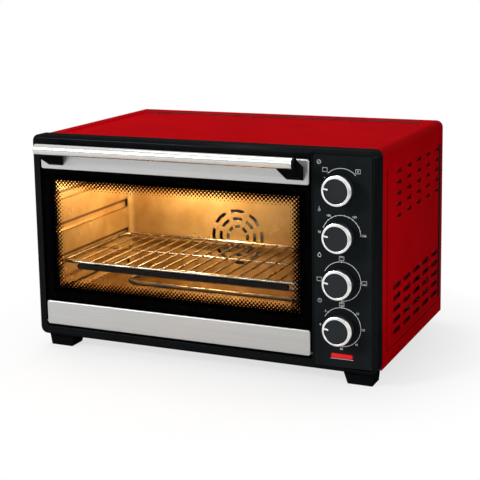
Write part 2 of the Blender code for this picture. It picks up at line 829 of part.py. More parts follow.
def louvre_shapes(side, outline_of, first_row, row_pitch, length):
    """Return the openings of one block of rows, on one side of the shell."""
    middle = SHELL_HALF - SIDE_PANEL_DEPTH
    start = middle - SHEET - CUT_OVERRUN
    end = SHELL_HALF + CUT_OVERRUN
    shapes = []
    for column in range(LOUVRE_COLUMNS):
        slot_end = SHELL_FRONT + LOUVRE_START + SLOT_LENGTH + column * LOUVRE_PITCH
        for row in range(LOUVRE_ROWS):
            outline = outline_of(
                slot_end - length / 2, first_row + row * row_pitch, length, LOUVRE_HEIGHT
            )
            shapes.append(prism("X", outline, side * start, side * end))
    return shapes


def build_outer_shell():
    """The enamelled sheet bent over the top and both sides, with its rear flange and its louvres."""
    bm = bmesh.new()
    side_margins = (SIDE_PANEL_FRONT, SIDE_PANEL_REAR, SIDE_PANEL_BOTTOM, SIDE_PANEL_TOP)
    top_margins = (TOP_PANEL_FRONT, TOP_PANEL_REAR, TOP_PANEL_SIDE, TOP_PANEL_SIDE)
    side_edge = (SHELL_FRONT, SHELL_BACK, 0, SHELL_TOP - SHELL_CORNER)
    flat_half = SHELL_HALF - SHELL_CORNER
    flange_top = []
    for side in (-1, 1):
        pressed_face(
            bm,
            lambda y, z, inwards, side=side: (side * (SHELL_HALF - inwards), y, z),
            side_edge,
            side_margins,
            SIDE_PANEL_DEPTH,
        )
        flange_top.append(shell_corner(bm, side))
    pressed_face(
        bm,
        lambda y, x, inwards: (x, y, SHELL_TOP - inwards),
        (SHELL_FRONT, SHELL_BACK, -flat_half, flat_half),
        top_margins,
        TOP_PANEL_DEPTH,
    )
    (left_in, left_out), (right_in, right_out) = flange_top
    bm.faces.new((left_in, right_in, right_out, left_out))
    bmesh.ops.remove_doubles(bm, verts=bm.verts, dist=WELD_DISTANCE)
    shell = mesh_object("outer_shell", bm)
    wall = shell.modifiers.new("Sheet", "SOLIDIFY")
    wall.thickness = SHEET
    wall.offset = -1
    wall.use_even_offset = True
    for side in (-1, 1):
        cut(
            shell,
            *louvre_shapes(side, slot, SLOT_FIRST_ROW, SLOT_ROW_PITCH, SLOT_LENGTH),
            *louvre_shapes(side, scoop, SCOOP_FIRST_ROW, SCOOP_ROW_PITCH, SCOOP_LENGTH),
        )
    cut(
        shell,
        *[
            rod(
                "Y",
                x,
                z,
                SCREW_HOLE,
                SHELL_BACK - SHEET - CUT_OVERRUN,
                SHELL_BACK + CUT_OVERRUN,
                HOLE_SIDES,
            )
            for x, z in rear_screw_places()
        ],
    )
    dress(shell, RED_ENAMEL)


def rear_screw_places():
    """Return where the screws go through the shell's rear flange, up each side and over the top."""
    middle = SHELL_HALF - SHELL_REAR_FLANGE / 2
    highest = SHELL_TOP - SHELL_REAR_FLANGE / 2
    places = []
    for row in range(REAR_SCREW_ROWS):
        z = highest * (row + 1) / (REAR_SCREW_ROWS + 1)
        places += [(-middle, z), (middle, z)]
    return places + [(-middle / 2, highest), (middle / 2, highest)]


# Rear, base and feet


def build_rear_cover():
    """The shallow pan that closes the back, inside the shell's flange, with vents and the cord's hole."""
    half = SHELL_INNER_HALF
    bottom = BASE_THICKNESS + FIT_GAP
    top = SHELL_TOP - SHEET - FIT_GAP
    corner = SHELL_CORNER - SHEET
    outside = rounded(-half, half, bottom, top, corner)
    inside = rounded(-half + SHEET, half - SHEET, bottom + SHEET, top - SHEET, corner - SHEET)
    cover = solid("rear_cover", prism("Y", outside, REAR_PAN_FRONT, REAR_PLATE_BACK))
    cut(cover, prism("Y", inside, REAR_PAN_FRONT - CUT_OVERRUN, REAR_PLATE_FRONT))
    through = (REAR_PLATE_FRONT - CUT_OVERRUN, REAR_PLATE_BACK + CUT_OVERRUN)
    vents = []
    for row in range(VENT_ROWS):
        for side in (-1, 1):
            outline = slot(
                side * VENT_OFFSET, VENT_FIRST_ROW + row * VENT_PITCH, VENT_LENGTH, VENT_HEIGHT
            )
            vents.append(prism("Y", outline, *through))
    screws = [rod("Y", x, z, SCREW_HOLE, *through, HOLE_SIDES) for x, z in rear_screw_places()]
    gland = rod("Y", GLAND_X, GLAND_HEIGHT, GLAND_RADIUS + FIT_GAP, *through)
    cut(cover, *vents, *screws, gland)
    dress(cover, GALVANISED)


def foot_centres():
    """Return the centres of the feet in plan."""
    x = HALF_WIDTH - FOOT_INSET - FOOT_LENGTH / 2
    rear_x = x - REAR_FOOT_SHIFT
    front = FOOT_SETBACK + FOOT_WIDTH / 2
    back = SHELL_BACK - FOOT_SETBACK - FOOT_WIDTH / 2
    return {
        "foot_front_left": (-x, front),
        "foot_front_right": (x, front),
        "foot_rear_left": (-rear_x, back),
        "foot_rear_right": (rear_x, back),
    }


def foot_screw_places():
    """Return where the foot screws stand: over the base plate, behind the front frame."""
    shift = FOOT_WIDTH / 4
    return [(x, y + shift if y < SHELL_BACK / 2 else y - shift) for x, y in foot_centres().values()]


def build_base_plate():
    """The floor of the case, which the feet are screwed to."""
    plate = solid(
        "base_plate",
        block(
            -SHELL_INNER_HALF, SHELL_INNER_HALF, SHELL_FRONT, REAR_PLATE_FRONT - FIT_GAP, 0, BASE_THICKNESS
        ),
    )
    cut(
        plate,
        *[
            rod("Z", x, y, SCREW_HOLE, -CUT_OVERRUN, BASE_THICKNESS + CUT_OVERRUN, HOLE_SIDES)
            for x, y in foot_screw_places()
        ],
    )
    dress(plate, GALVANISED)


def build_feet():
    """Four tapered feet, each with a counterbored screw hole."""
    for (name, (x, y)), (screw_x, screw_y) in zip(foot_centres().items(), foot_screw_places()):
        half_x = FOOT_LENGTH / 2
        half_y = FOOT_WIDTH / 2
        top = rectangle(x - half_x, x + half_x, y - half_y, y + half_y)
        side = 1 if x > 0 else -1
        across = sorted((x + side * (half_x - FOOT_TAPER_OUTSIDE), x - side * (half_x - FOOT_TAPER_INSIDE)))
        half_y -= FOOT_TAPER_ENDS
        bottom = rectangle(*across, y - half_y, y + half_y)
        foot = solid(name, loft("Z", (-FOOT_HEIGHT, bottom), (-FIT_GAP, top)))
        bore_end = -FOOT_HEIGHT + FOOT_BORE_DEPTH
        cut(foot, rod("Z", screw_x, screw_y, FOOT_BORE, -FOOT_HEIGHT - CUT_OVERRUN, bore_end, SMALL_SIDES))
        cut(foot, rod("Z", screw_x, screw_y, SCREW_HOLE, bore_end - CUT_OVERRUN, CUT_OVERRUN, HOLE_SIDES))
        dress(foot, FOOT_RUBBER)


# Cavity


def channel_bottoms():
    return [CAVITY_FLOOR + CHANNEL_FIRST + row * CHANNEL_PITCH for row in range(CHANNEL_COUNT)]


def wall_line():
    """Return the left wall's inner face seen from the front: a straight sheet with shelf channels."""
    line = [(CAVITY_LEFT, CAVITY_FLOOR - CAVITY_SHEET)]
    for bottom in channel_bottoms():
        top = bottom + CHANNEL_HEIGHT
        line += [
            (CAVITY_LEFT, bottom),
            (CAVITY_LEFT - CHANNEL_DEPTH, bottom),
            (CAVITY_LEFT - CHANNEL_DEPTH, top - CHANNEL_SLOPE),
            (CAVITY_LEFT, top),
        ]
    return line + [(CAVITY_LEFT, CAVITY_ROOF + CAVITY_SHEET)]


def build_cavity_wall(name, place_outline):
    """One side wall with its front flange; place_outline mirrors the left wall's outlines at need."""
    back = CAVITY_BACK - FIT_GAP
    wall = solid(name, prism("Y", place_outline(sheet_line(wall_line(), CAVITY_SHEET)), CAVITY_FRONT, back))
    low = CAVITY_FLOOR - CAVITY_SHEET
    high = CAVITY_ROOF + CAVITY_SHEET
    flange = rectangle(
        CAVITY_LEFT - CAVITY_FRONT_FLANGE, CAVITY_LEFT - CAVITY_SHEET / 2, low + FIT_GAP, high - FIT_GAP
    )
    join(wall, prism("Y", place_outline(flange), CAVITY_FRONT + WELD_DISTANCE, CAVITY_FRONT + CAVITY_SHEET))
    channels = []
    for bottom in channel_bottoms():
        top = bottom + CHANNEL_HEIGHT
        outline = [
            (CAVITY_LEFT + CUT_OVERRUN, bottom),
            (CAVITY_LEFT - CHANNEL_DEPTH, bottom),
            (CAVITY_LEFT - CHANNEL_DEPTH, top - CHANNEL_SLOPE),
            (CAVITY_LEFT, top),
            (CAVITY_LEFT + CUT_OVERRUN, top),
        ]
        channels.append(
            prism("Y", place_outline(outline), CAVITY_FRONT - CUT_OVERRUN, CAVITY_FRONT + CUT_OVERRUN)
        )
    cut(wall, *channels)
    return wall


def build_cavity():
    """The sheet metal box that the food is cooked in."""
    left = build_cavity_wall("cavity_left_wall", lambda outline: outline)
    dress(left, CAVITY_STEEL)
    right = build_cavity_wall("cavity_right_wall", lambda outline: mirrored(outline, RECESS_CENTRE))
    start = CAVITY_RIGHT - CUT_OVERRUN
    end = RIGHT_WALL_OUTSIDE + CHANNEL_DEPTH + CUT_OVERRUN
    holes = [
        rod("X", y, z, HEATER_RADIUS + RUNNING_GAP / 2, start, end, SMALL_SIDES)
        for y in (HEATER_NEAR_Y, HEATER_FAR_Y)
        for z in (LOWER_HEATER_Z, UPPER_HEATER_Z)
    ]
    cut(right, *holes, rod("X", LAMP_Y, LAMP_Z, LAMP_HOLE, start, end))
    dress(right, CAVITY_STEEL)
    x0 = CAVITY_LEFT + FIT_GAP
    x1 = CAVITY_RIGHT - FIT_GAP
    y1 = CAVITY_BACK - FIT_GAP
    floor = solid(
        "cavity_floor", block(x0, x1, CAVITY_FRONT, y1, CAVITY_FLOOR - CAVITY_SHEET, CAVITY_FLOOR)
    )
    dress(floor, CAVITY_STEEL)
    roof = solid(
        "cavity_roof", block(x0, x1, CAVITY_FRONT, y1, CAVITY_ROOF, CAVITY_ROOF + CAVITY_SHEET)
    )
    dress(roof, CAVITY_STEEL)
    back = solid(
        "cavity_back",
        block(
            CAVITY_LEFT - CAVITY_SHEET,
            RIGHT_WALL_OUTSIDE,
            CAVITY_BACK,
            CAVITY_BACK + CAVITY_SHEET,
            CAVITY_FLOOR - CAVITY_SHEET,
            CAVITY_ROOF + CAVITY_SHEET,
        ),
    )
    cut(back, *grille_slots())
    dress(back, CAVITY_STEEL)


def grille_slots():
    """Return rings of short curved slots through the back wall, in front of the fan."""
    shapes = []
    for ring in range(GRILLE_RINGS):
        inner = GRILLE_FIRST + ring * GRILLE_PITCH
        outer = inner + GRILLE_SLOT_WIDTH
        step = 2 * math.pi / GRILLE_SLOTS
        half = step * (1 - GRILLE_BRIDGE_SHARE) / 2
        for index in range(GRILLE_SLOTS):
            middle = index * step
            angles = (middle - half, middle, middle + half)
            outline = [(inner, angle) for angle in angles] + [(outer, angle) for angle in angles[::-1]]
            points = [
                (RECESS_CENTRE + radius * math.cos(angle), FAN_Z + radius * math.sin(angle))
                for radius, angle in outline
            ]
            shapes.append(
                prism("Y", points, CAVITY_BACK - CUT_OVERRUN, CAVITY_BACK + CAVITY_SHEET + CUT_OVERRUN)
            )
    return shapes


def build_heat_shield():
    """The upright sheet that keeps the cavity's heat off the controls."""
    shield = solid(
        "heat_shield",
        block(
            SHIELD_LEFT,
            SHIELD_RIGHT,
            SHELL_FRONT,
            REAR_PAN_FRONT - FIT_GAP,
            BASE_THICKNESS + FIT_GAP,
            SHELL_TOP - SHIELD_TOP_GAP,
        ),
    )
    start = SHIELD_LEFT - CUT_OVERRUN
    end = SHIELD_RIGHT + CUT_OVERRUN
    holes = [
        rod("X", y, z, CERAMIC_RADIUS + FIT_GAP, start, end, SMALL_SIDES)
        for y in (HEATER_NEAR_Y, HEATER_FAR_Y)
        for z in (LOWER_HEATER_Z, UPPER_HEATER_Z)
    ]
    cut(shield, *holes, rod("X", LAMP_Y, LAMP_Z, LAMP_CAN + FIT_GAP, start, end))
    dress(shield, GALVANISED)


def build_wire_rack(slide):
    """The chromed rack: a heavy outer wire, bars from front to back, a tie and a front strip."""
    level = channel_bottoms()[RACK_CHANNEL] + FIT_GAP + RACK_WIRE
    reach = CHANNEL_DEPTH - RACK_SIDE_PLAY - RACK_WIRE
    left = CAVITY_LEFT - reach
    right = CAVITY_RIGHT + reach
    front = CAVITY_FRONT + RACK_SETBACK + RACK_WIRE
    back = CAVITY_BACK - RACK_BACK_PLAY - RACK_WIRE
    corner_line = rounded(left, right, front, back, RACK_CORNER)
    rack = solid("wire_rack", swept([(x, y, level) for x, y in corner_line], RACK_WIRE, looped=True))
    first = CAVITY_LEFT + RACK_BAR_INSET
    pitch = (CAVITY_RIGHT - RACK_BAR_INSET - first) / (RACK_BAR_COUNT - 1)
    bars = [
        swept([(first + index * pitch, y, level) for y in (front, back)], RACK_BAR, BAR_SIDES)
        for index in range(RACK_BAR_COUNT)
    ]
    join(rack, *bars)
    tie_level = level - RACK_WIRE + RACK_BAR
    ties = [
        swept([(x, front + share * (back - front), tie_level) for x in (left, right)], RACK_BAR, BAR_SIDES)
        for share in RACK_TIE_SHARES
    ]
    join(rack, *ties)
    strip = block(
        CAVITY_LEFT + RACK_STRIP_INSET,
        CAVITY_RIGHT - RACK_STRIP_INSET,
        front - RACK_STRIP_THICKNESS / 2,
        front + RACK_STRIP_THICKNESS / 2,
        level - RACK_WIRE - RACK_STRIP_HEIGHT,
        level,
    )
    join(rack, strip)
    dress(hang(rack, slide), RACK_WIRE_FINISH)


def heater_path(z):
    """Return a U: in from the right, round a half turn at the left and back out."""
    centre_x = CAVITY_LEFT + HEATER_LEFT_CLEARANCE + HEATER_BEND
    middle = (HEATER_NEAR_Y + HEATER_FAR_Y) / 2
    tail = SHIELD_RIGHT + CERAMIC_LENGTH / 2 + HEATER_TAIL
    bend = []
    for step in range(BEND_STEPS + 1):
        angle = -math.pi / 2 - math.pi * step / BEND_STEPS
        bend.append(
            (centre_x + HEATER_BEND * math.cos(angle), middle + HEATER_BEND * math.sin(angle), z)
        )
    return [(tail, HEATER_NEAR_Y, z)] + bend + [(tail, HEATER_FAR_Y, z)]


def build_heating():
    """Both U-shaped elements, each with its ceramic holder on the heat shield and its clip."""
    floor = CAVITY_FLOOR + FIT_GAP
    roof = CAVITY_ROOF - FIT_GAP
    for name, z, seat, out in (
        ("lower_heater", LOWER_HEATER_Z, floor, 1),
        ("upper_heater", UPPER_HEATER_Z, roof, -1),
    ):
        dress(solid(name, swept(heater_path(z), HEATER_RADIUS, HEATER_SIDES)), HEATER_SHEATH)
        build_heater_holder(f"{name}_holder", z)
        build_heater_clip(f"{name}_clip", z, seat, out)


def build_heater_holder(name, z):
    """The ceramic plate on the heat shield, with a boss round each leg of one element."""
    end = SHIELD_LEFT - FIT_GAP
    start = end - CERAMIC_PLATE
    y0 = HEATER_NEAR_Y - CERAMIC_MARGIN
    y1 = HEATER_FAR_Y + CERAMIC_MARGIN
    outline = rounded(y0, y1, z - CERAMIC_MARGIN, z + CERAMIC_MARGIN, CERAMIC_RADIUS)
    holder = solid(name, prism("X", outline, start, end))
    legs = (HEATER_NEAR_Y, HEATER_FAR_Y)
    tip = start + CERAMIC_LENGTH
    join(holder, *[rod("X", y, z, CERAMIC_RADIUS, end - CERAMIC_PLATE / 2, tip) for y in legs])
    bore = HEATER_RADIUS + FIT_GAP
    cut(
        holder,
        *[rod("X", y, z, bore, start - CUT_OVERRUN, tip + CUT_OVERRUN, HEATER_SIDES) for y in legs],
    )
    dress(holder, CERAMIC)


def build_heater_clip(name, z, seat, out):
    """The upright clip that stands on the cavity's floor, or hangs from its roof, and cradles both legs."""
    x0 = CLIP_X - CLIP_THICKNESS / 2
    x1 = CLIP_X + CLIP_THICKNESS / 2
    y0 = HEATER_NEAR_Y - CLIP_MARGIN
    y1 = HEATER_FAR_Y + CLIP_MARGIN
    tip = z + out * HEATER_RADIUS
    clip = solid(name, block(x0, x1, y0, y1, min(seat, tip), max(seat, tip)))
    seats = [
        prism("X", cradle(y, z, HEATER_RADIUS + FIT_GAP, out), x0 - CUT_OVERRUN, x1 + CUT_OVERRUN)
        for y in (HEATER_NEAR_Y, HEATER_FAR_Y)
    ]
    cut(clip, *seats)
    dress(clip, GALVANISED)


def cradle(y, z, radius, out):
    """Return a U that holds a round rod, open upwards where out is 1 and downwards where it is -1."""
    points = []
    for step in range(SMALL_SIDES // 2 + 1):
        angle = math.pi + math.pi * step / (SMALL_SIDES // 2)
        points.append((y + radius * math.cos(angle), z + out * radius * math.sin(angle)))
    edge = z + out * (radius + CUT_OVERRUN)
    return points + [(y + radius, edge), (y - radius, edge)]


# Lamp


def build_lamp():
    """The lamp in the right wall: a glass cover, a bulb and the can that holds them."""
    start = RIGHT_WALL_OUTSIDE + FIT_GAP
    bottom = start + LAMP_CAN_LENGTH
    inside = LAMP_CAN - CAVITY_SHEET
    neck = BULB_NECK + FIT_GAP
    profile = [
        (start, inside),
        (start, LAMP_CAN_FLANGE),
        (start + CAVITY_SHEET, LAMP_CAN_FLANGE),
        (start + CAVITY_SHEET, LAMP_CAN),
        (bottom + CAVITY_SHEET, LAMP_CAN),
        (bottom + CAVITY_SHEET, neck),
        (bottom, neck),
        (bottom, inside),
    ]
    dress(solid("lamp_housing", turned("X", LAMP_Y, LAMP_Z, profile)), GALVANISED)
    cap_end = bottom + CAVITY_SHEET + BULB_CAP_LENGTH / 2
    glass_end = cap_end - BULB_CAP_LENGTH
    tip = glass_end - BULB_LENGTH + BULB_RADIUS
    steps = [(cap_end, BULB_NECK), (glass_end, BULB_NECK), (glass_end - BULB_NECK, BULB_RADIUS)]
    for index in range(CORNER_STEPS):
        angle = math.pi / 2 * index / CORNER_STEPS
        steps.append((tip - BULB_RADIUS * math.sin(angle), BULB_RADIUS * math.cos(angle)))
    dress(solid("lamp_bulb", stepped_rod("X", LAMP_Y, LAMP_Z, steps, SMALL_SIDES)), CLEAR_GLASS)
    rim = inside - FIT_GAP
    lens = LAMP_HOLE - FIT_GAP
    face = CAVITY_RIGHT - LAMP_COVER_REACH
    cover_back = start + LAMP_COVER_RIM
    hollow = lens - LAMP_COVER_WALL
    steps = [
        (face, hollow),
        (face + LAMP_COVER_WALL / 2, lens),
        (start, lens),
        (start, rim),
        (cover_back, rim),
    ]
    cover = solid("lamp_cover", stepped_rod("X", LAMP_Y, LAMP_Z, steps))
    cut(cover, rod("X", LAMP_Y, LAMP_Z, hollow, face + LAMP_COVER_WALL, cover_back + CUT_OVERRUN))
    dress(cover, CLEAR_GLASS)


# Fan


def build_fan(fan_axis):
    """The convection fan: its pan behind the cavity, the motor on the pan, and the blade wheel."""
    x = RECESS_CENTRE
    sheet = CAVITY_SHEET
    front = FAN_CHAMBER_FRONT
    back = FAN_CHAMBER_BACK
    bore = FAN_SHAFT + RUNNING_GAP
    profile = [
        (front, FAN_HOUSING_RADIUS),
        (front, FAN_HOUSING_RADIUS + FAN_HOUSING_FLANGE),
        (front + sheet, FAN_HOUSING_RADIUS + FAN_HOUSING_FLANGE),
        (front + sheet, FAN_HOUSING_RADIUS + sheet),
        (back, FAN_HOUSING_RADIUS + sheet),
        (back, bore),
        (back - sheet, bore),
        (back - sheet, FAN_HOUSING_RADIUS),
    ]
    dress(solid("fan_housing", turned("Y", x, FAN_Z, profile)), GALVANISED)
    end = MOTOR_FRONT + MOTOR_LENGTH
    motor = solid(
        "fan_motor",
        stepped_rod(
            "Y",
            x,
            FAN_Z,
            [
                (MOTOR_FRONT, MOTOR_RADIUS - MOTOR_SHOULDER),
                (MOTOR_FRONT + MOTOR_SHOULDER, MOTOR_RADIUS),
                (end - MOTOR_SHOULDER, MOTOR_RADIUS),
                (end, MOTOR_RADIUS - MOTOR_SHOULDER),
            ],
        ),
    )
    shaft_end = MOTOR_FRONT + FAN_SHAFT_INTO_MOTOR
    bore_end = shaft_end + RUNNING_GAP
    cut(
        motor,
        rod("Y", x, FAN_Z, FAN_SHAFT + PIN_PLAY, MOTOR_FRONT - CUT_OVERRUN, bore_end, SMALL_SIDES),
    )
    dress(motor, MOTOR_STEEL)
    blade_back = FAN_BLADE_FRONT + FAN_BLADE_DEPTH
    wheel = solid(
        "fan_blade", rod("Y", x, FAN_Z, FAN_RADIUS, blade_back - FAN_BLADE_THICKNESS, blade_back)
    )
    join(wheel, rod("Y", x, FAN_Z, FAN_HUB, FAN_BLADE_FRONT, blade_back + FAN_BLADE_THICKNESS, SMALL_SIDES))
    shaft_start = FAN_BLADE_FRONT + FAN_BLADE_THICKNESS
    join(wheel, rod("Y", x, FAN_Z, FAN_SHAFT, shaft_start, shaft_end, SMALL_SIDES))
    vanes = []
    for index in range(FAN_BLADES):
        angle = 2 * math.pi * index / FAN_BLADES
        outer = FAN_RADIUS - FAN_BLADE_THICKNESS
        inner = outer - FAN_BLADE_SPAN
        half = FAN_BLADE_THICKNESS / 2
        turn = Matrix.Rotation(angle, 2)
        corners = [turn @ Vector(corner) for corner in rectangle(inner, outer, -half, half)]
        outline = [(x + corner.x, FAN_Z + corner.y) for corner in corners]
        vanes.append(prism("Y", outline, FAN_BLADE_FRONT, blade_back - FAN_BLADE_THICKNESS / 2))
    join(wheel, *vanes)
    dress(hang(wheel, fan_axis), GALVANISED)


# Door


def build_door_glass(door_axis):
    """The single pane, with holes for the handle's screws."""
    glass = solid(
        "door_glass", block(DOOR_LEFT, DOOR_RIGHT, GLASS_FRONT, GLASS_BACK, GLASS_BOTTOM, GLASS_TOP)
    )
    front = GLASS_FRONT - CUT_OVERRUN
    back = GLASS_BACK + CUT_OVERRUN
    cut(
        glass,
        *[
            rod("Y", x, HANDLE_SCREW_Z, SCREW_HOLE, front, back, SMALL_SIDES)
            for x in bracket_centres()
        ],
    )
    dress(hang(glass, door_axis), DOOR_GLASS)


def bracket_centres():
    left = DOOR_LEFT + BRACKET_INSET_LEFT + BRACKET_WIDTH / 2
    right = DOOR_RIGHT - BRACKET_INSET_RIGHT - BRACKET_WIDTH / 2
    return left, right


def end_walls(bottom, top):
    """Return the folded ends of a trim, which reach back to the glass."""
    back = GLASS_FRONT - FIT_GAP
    return [
        block(x, x + TRIM_SHEET, -TRIM_PROUD + TRIM_SHEET / 2, back, bottom, top)
        for x in (TRIM_LEFT, TRIM_RIGHT - TRIM_SHEET)
    ]


def build_top_trim(door_axis):
    """The upper metal trim, folded over the glass's top edge, with the handle's screw holes."""
    low = DOOR_TOP - TOP_TRIM_HEIGHT
    line = [
        (GLASS_FRONT - FIT_GAP, low),
        (-TRIM_PROUD, low),
        (-TRIM_PROUD, DOOR_TOP),
        (TRIM_BACK, DOOR_TOP),
        (TRIM_BACK, DOOR_TOP - TRIM_BACK_HEIGHT),
    ]
    outline = sheet_line(line[::-1], TRIM_SHEET)
    trim = solid("door_top_trim", prism("X", outline, TRIM_LEFT, TRIM_RIGHT))
    join(trim, *end_walls(low + TRIM_SHEET / 2, DOOR_TOP - TRIM_SHEET / 2))
    cut(
        trim,
        *[
            rod(
                "Y",
                x,
                HANDLE_SCREW_Z,
                SCREW_HOLE,
                -TRIM_PROUD - CUT_OVERRUN / 2,
                TRIM_SKIN_BACK + CUT_OVERRUN / 2,
                SMALL_SIDES,
            )
            for x in bracket_centres()
        ],
    )
    dress(hang(trim, door_axis), BRUSHED_STEEL)


def build_bottom_trim(door_axis):
    """The lower metal trim, folded under the door, with slots for the hinge arms and their pins."""
    high = DOOR_BOTTOM + BOTTOM_TRIM_HEIGHT
    line = [
        (GLASS_FRONT - FIT_GAP, high),
        (-TRIM_PROUD, high),
        (-TRIM_PROUD, DOOR_BOTTOM),
        (TRIM_BACK, DOOR_BOTTOM),
        (TRIM_BACK, high),
    ]
    trim = solid("door_bottom_trim", prism("X", sheet_line(line, TRIM_SHEET), TRIM_LEFT, TRIM_RIGHT))
    join(trim, *end_walls(DOOR_BOTTOM + TRIM_SHEET / 2, high - TRIM_SHEET / 2))
    half = HINGE_PLATE / 2 + FIT_GAP
    rise = HINGE_ARM_WIDTH / 2 + FIT_GAP + RUNNING_GAP
    arm_z = HINGE_Z + HINGE_ARM_RADIUS
    front = TRIM_BACK - TRIM_SHEET - CUT_OVERRUN
    back = TRIM_BACK + CUT_OVERRUN
    slots = [
        block(x - half, x + half, front, back, arm_z - rise, arm_z + rise)
        for x in (HINGE_LEFT_X, HINGE_RIGHT_X)
    ]
    bore = HINGE_PIN + FIT_GAP
    pins = [
        rod("X", HINGE_Y, HINGE_Z, bore, TRIM_LEFT - CUT_OVERRUN, HINGE_LEFT_X, SMALL_SIDES),
        rod("X", HINGE_Y, HINGE_Z, bore, HINGE_RIGHT_X, TRIM_RIGHT + CUT_OVERRUN, SMALL_SIDES),
    ]
    cut(trim, *slots, *pins)
    dress(hang(trim, door_axis), BRUSHED_STEEL)


def arm_outline():
    """Return the hinge plate seen from the side: an upright bar and the curved arm with its stop."""
    inner = HINGE_ARM_RADIUS - HINGE_ARM_WIDTH / 2
    outer = HINGE_ARM_RADIUS + HINGE_ARM_WIDTH / 2
    start = math.pi / 2
    sweep = HINGE_TAIL_ANGLE - start

    def ring(radius, first, last, steps):
        angles = [first + (last - first) * step / steps for step in range(steps + 1)]
        return [
            (HINGE_Y + radius * math.cos(angle), HINGE_Z + radius * math.sin(angle))
            for angle in angles
        ]

    tooth = HINGE_TAIL_ANGLE + HINGE_TOOTH_ANGLE
    back_edge = ring(outer, start, tooth, HINGE_ARM_STEPS)
    stop = ring(outer + HINGE_TOOTH, tooth, HINGE_TAIL_ANGLE, 1)
    front_edge = ring(inner, start + sweep, start, HINGE_ARM_STEPS)
    return back_edge + stop + front_edge


def build_hinges(door_axis):
    """Both hinges: an upright inside the trim, a pin into the frame and the arm with the stop."""
    front = TRIM_SKIN_BACK + FIT_GAP
    back = TRIM_BACK - TRIM_SHEET - FIT_GAP
    low = DOOR_BOTTOM + TRIM_SHEET + FIT_GAP
    high = HINGE_Z + HINGE_ARM_RADIUS + HINGE_ARM_WIDTH / 2
    for name, x, side, edge in (
        ("door_hinge_left", HINGE_LEFT_X, -1, RECESS_LEFT),
        ("door_hinge_right", HINGE_RIGHT_X, 1, RECESS_RIGHT),
    ):
        near = x - HINGE_PLATE / 2
        far = x + HINGE_PLATE / 2
        hinge = solid(name, prism("X", arm_outline(), near, far))
        join(hinge, block(near, far, front, back, low, high))
        pin_end = edge + side * (HINGE_PIN_REACH - RUNNING_GAP / 2)
        join(hinge, rod("X", HINGE_Y, HINGE_Z, HINGE_PIN, x, pin_end, SMALL_SIDES))
        dress(hang(hinge, door_axis), SCREW_STEEL)


def build_handle(door_axis):
    """The tubular handle, its two black brackets with end discs, and the screws through the glass."""
    tube_left = HANDLE_LEFT + HANDLE_DISC
    tube_right = HANDLE_RIGHT - HANDLE_DISC
    bore = HANDLE_RADIUS - HANDLE_WALL
    profile = [
        (tube_left, bore),
        (tube_left, HANDLE_RADIUS),
        (tube_right, HANDLE_RADIUS),
        (tube_right, bore),
    ]
    bar = solid("handle_bar", turned("X", -HANDLE_STANDOFF, HANDLE_Z, profile))
    dress(hang(bar, door_axis), BRUSHED_STEEL)
    seat = -TRIM_PROUD - FIT_GAP
    foot_top = BRACKET_BOTTOM + BRACKET_FOOT
    outline = [
        (seat, BRACKET_BOTTOM),
        (seat, foot_top),
        (seat - BRACKET_BACK_REACH, HANDLE_Z + HANDLE_RADIUS * BRACKET_CREST_SHARE),
        (-HANDLE_STANDOFF, HANDLE_Z + HANDLE_RADIUS * BRACKET_BROW_SHARE),
        (-HANDLE_STANDOFF - HANDLE_RADIUS / 2, HANDLE_Z - HANDLE_RADIUS - FIT_GAP),
    ]
    tools = zip(
        ("handle_bracket_left", "handle_bracket_right"),
        bracket_centres(),
        (HANDLE_LEFT, HANDLE_RIGHT),
        (1, -1),
    )
    for name, centre, end, inwards in tools:
        half = BRACKET_WIDTH / 2
        bracket = solid(name, prism("X", outline, centre - half, centre + half))
        disc_inside = end + inwards * HANDLE_DISC
        cut(
            bracket,
            rod(
                "X",
                -HANDLE_STANDOFF,
                HANDLE_Z,
                HANDLE_RADIUS + FIT_GAP,
                disc_inside - inwards * FIT_GAP,
                centre + inwards * (half + CUT_OVERRUN),
            ),
        )
        steps = [
            (end, HANDLE_RADIUS - FIT_GAP),
            (disc_inside - inwards * FIT_GAP, HANDLE_RADIUS - FIT_GAP),
            (disc_inside - inwards * FIT_GAP, bore - FIT_GAP),
            (disc_inside + inwards * HANDLE_SPIGOT, bore - FIT_GAP),
        ]
        join(bracket, stepped_rod("X", -HANDLE_STANDOFF, HANDLE_Z, steps))
        pilot_end = seat - BRACKET_PILOT_DEPTH
        cut(
            bracket,
            rod("Y", centre, HANDLE_SCREW_Z, SCREW_HOLE, pilot_end, seat + CUT_OVERRUN, SMALL_SIDES),
        )
        dress(hang(bracket, door_axis), BLACK_PLASTIC)
    build_handle_screws(door_axis)


def build_handle_screws(door_axis):
    """The two screws that run from inside the door through glass and trim into the brackets."""
    head_seat = GLASS_BACK + FIT_GAP
    head_top = head_seat + SCREW_HEAD_THICKNESS
    steps = [
        (head_top, SCREW_HEAD - SCREW_HEAD_TAPER),
        (head_top - SCREW_HEAD_TAPER, SCREW_HEAD),
        (head_seat, SCREW_HEAD),
        (head_seat, SCREW_SHANK),
        (head_seat - HANDLE_SCREW_LENGTH, SCREW_SHANK),
    ]
    for name, x in zip(("handle_screw_left", "handle_screw_right"), bracket_centres()):
        screw = solid(name, stepped_rod("Y", x, HANDLE_SCREW_Z, steps, SMALL_SIDES))
        dress(hang(screw, door_axis), SCREW_STEEL)


# Controls


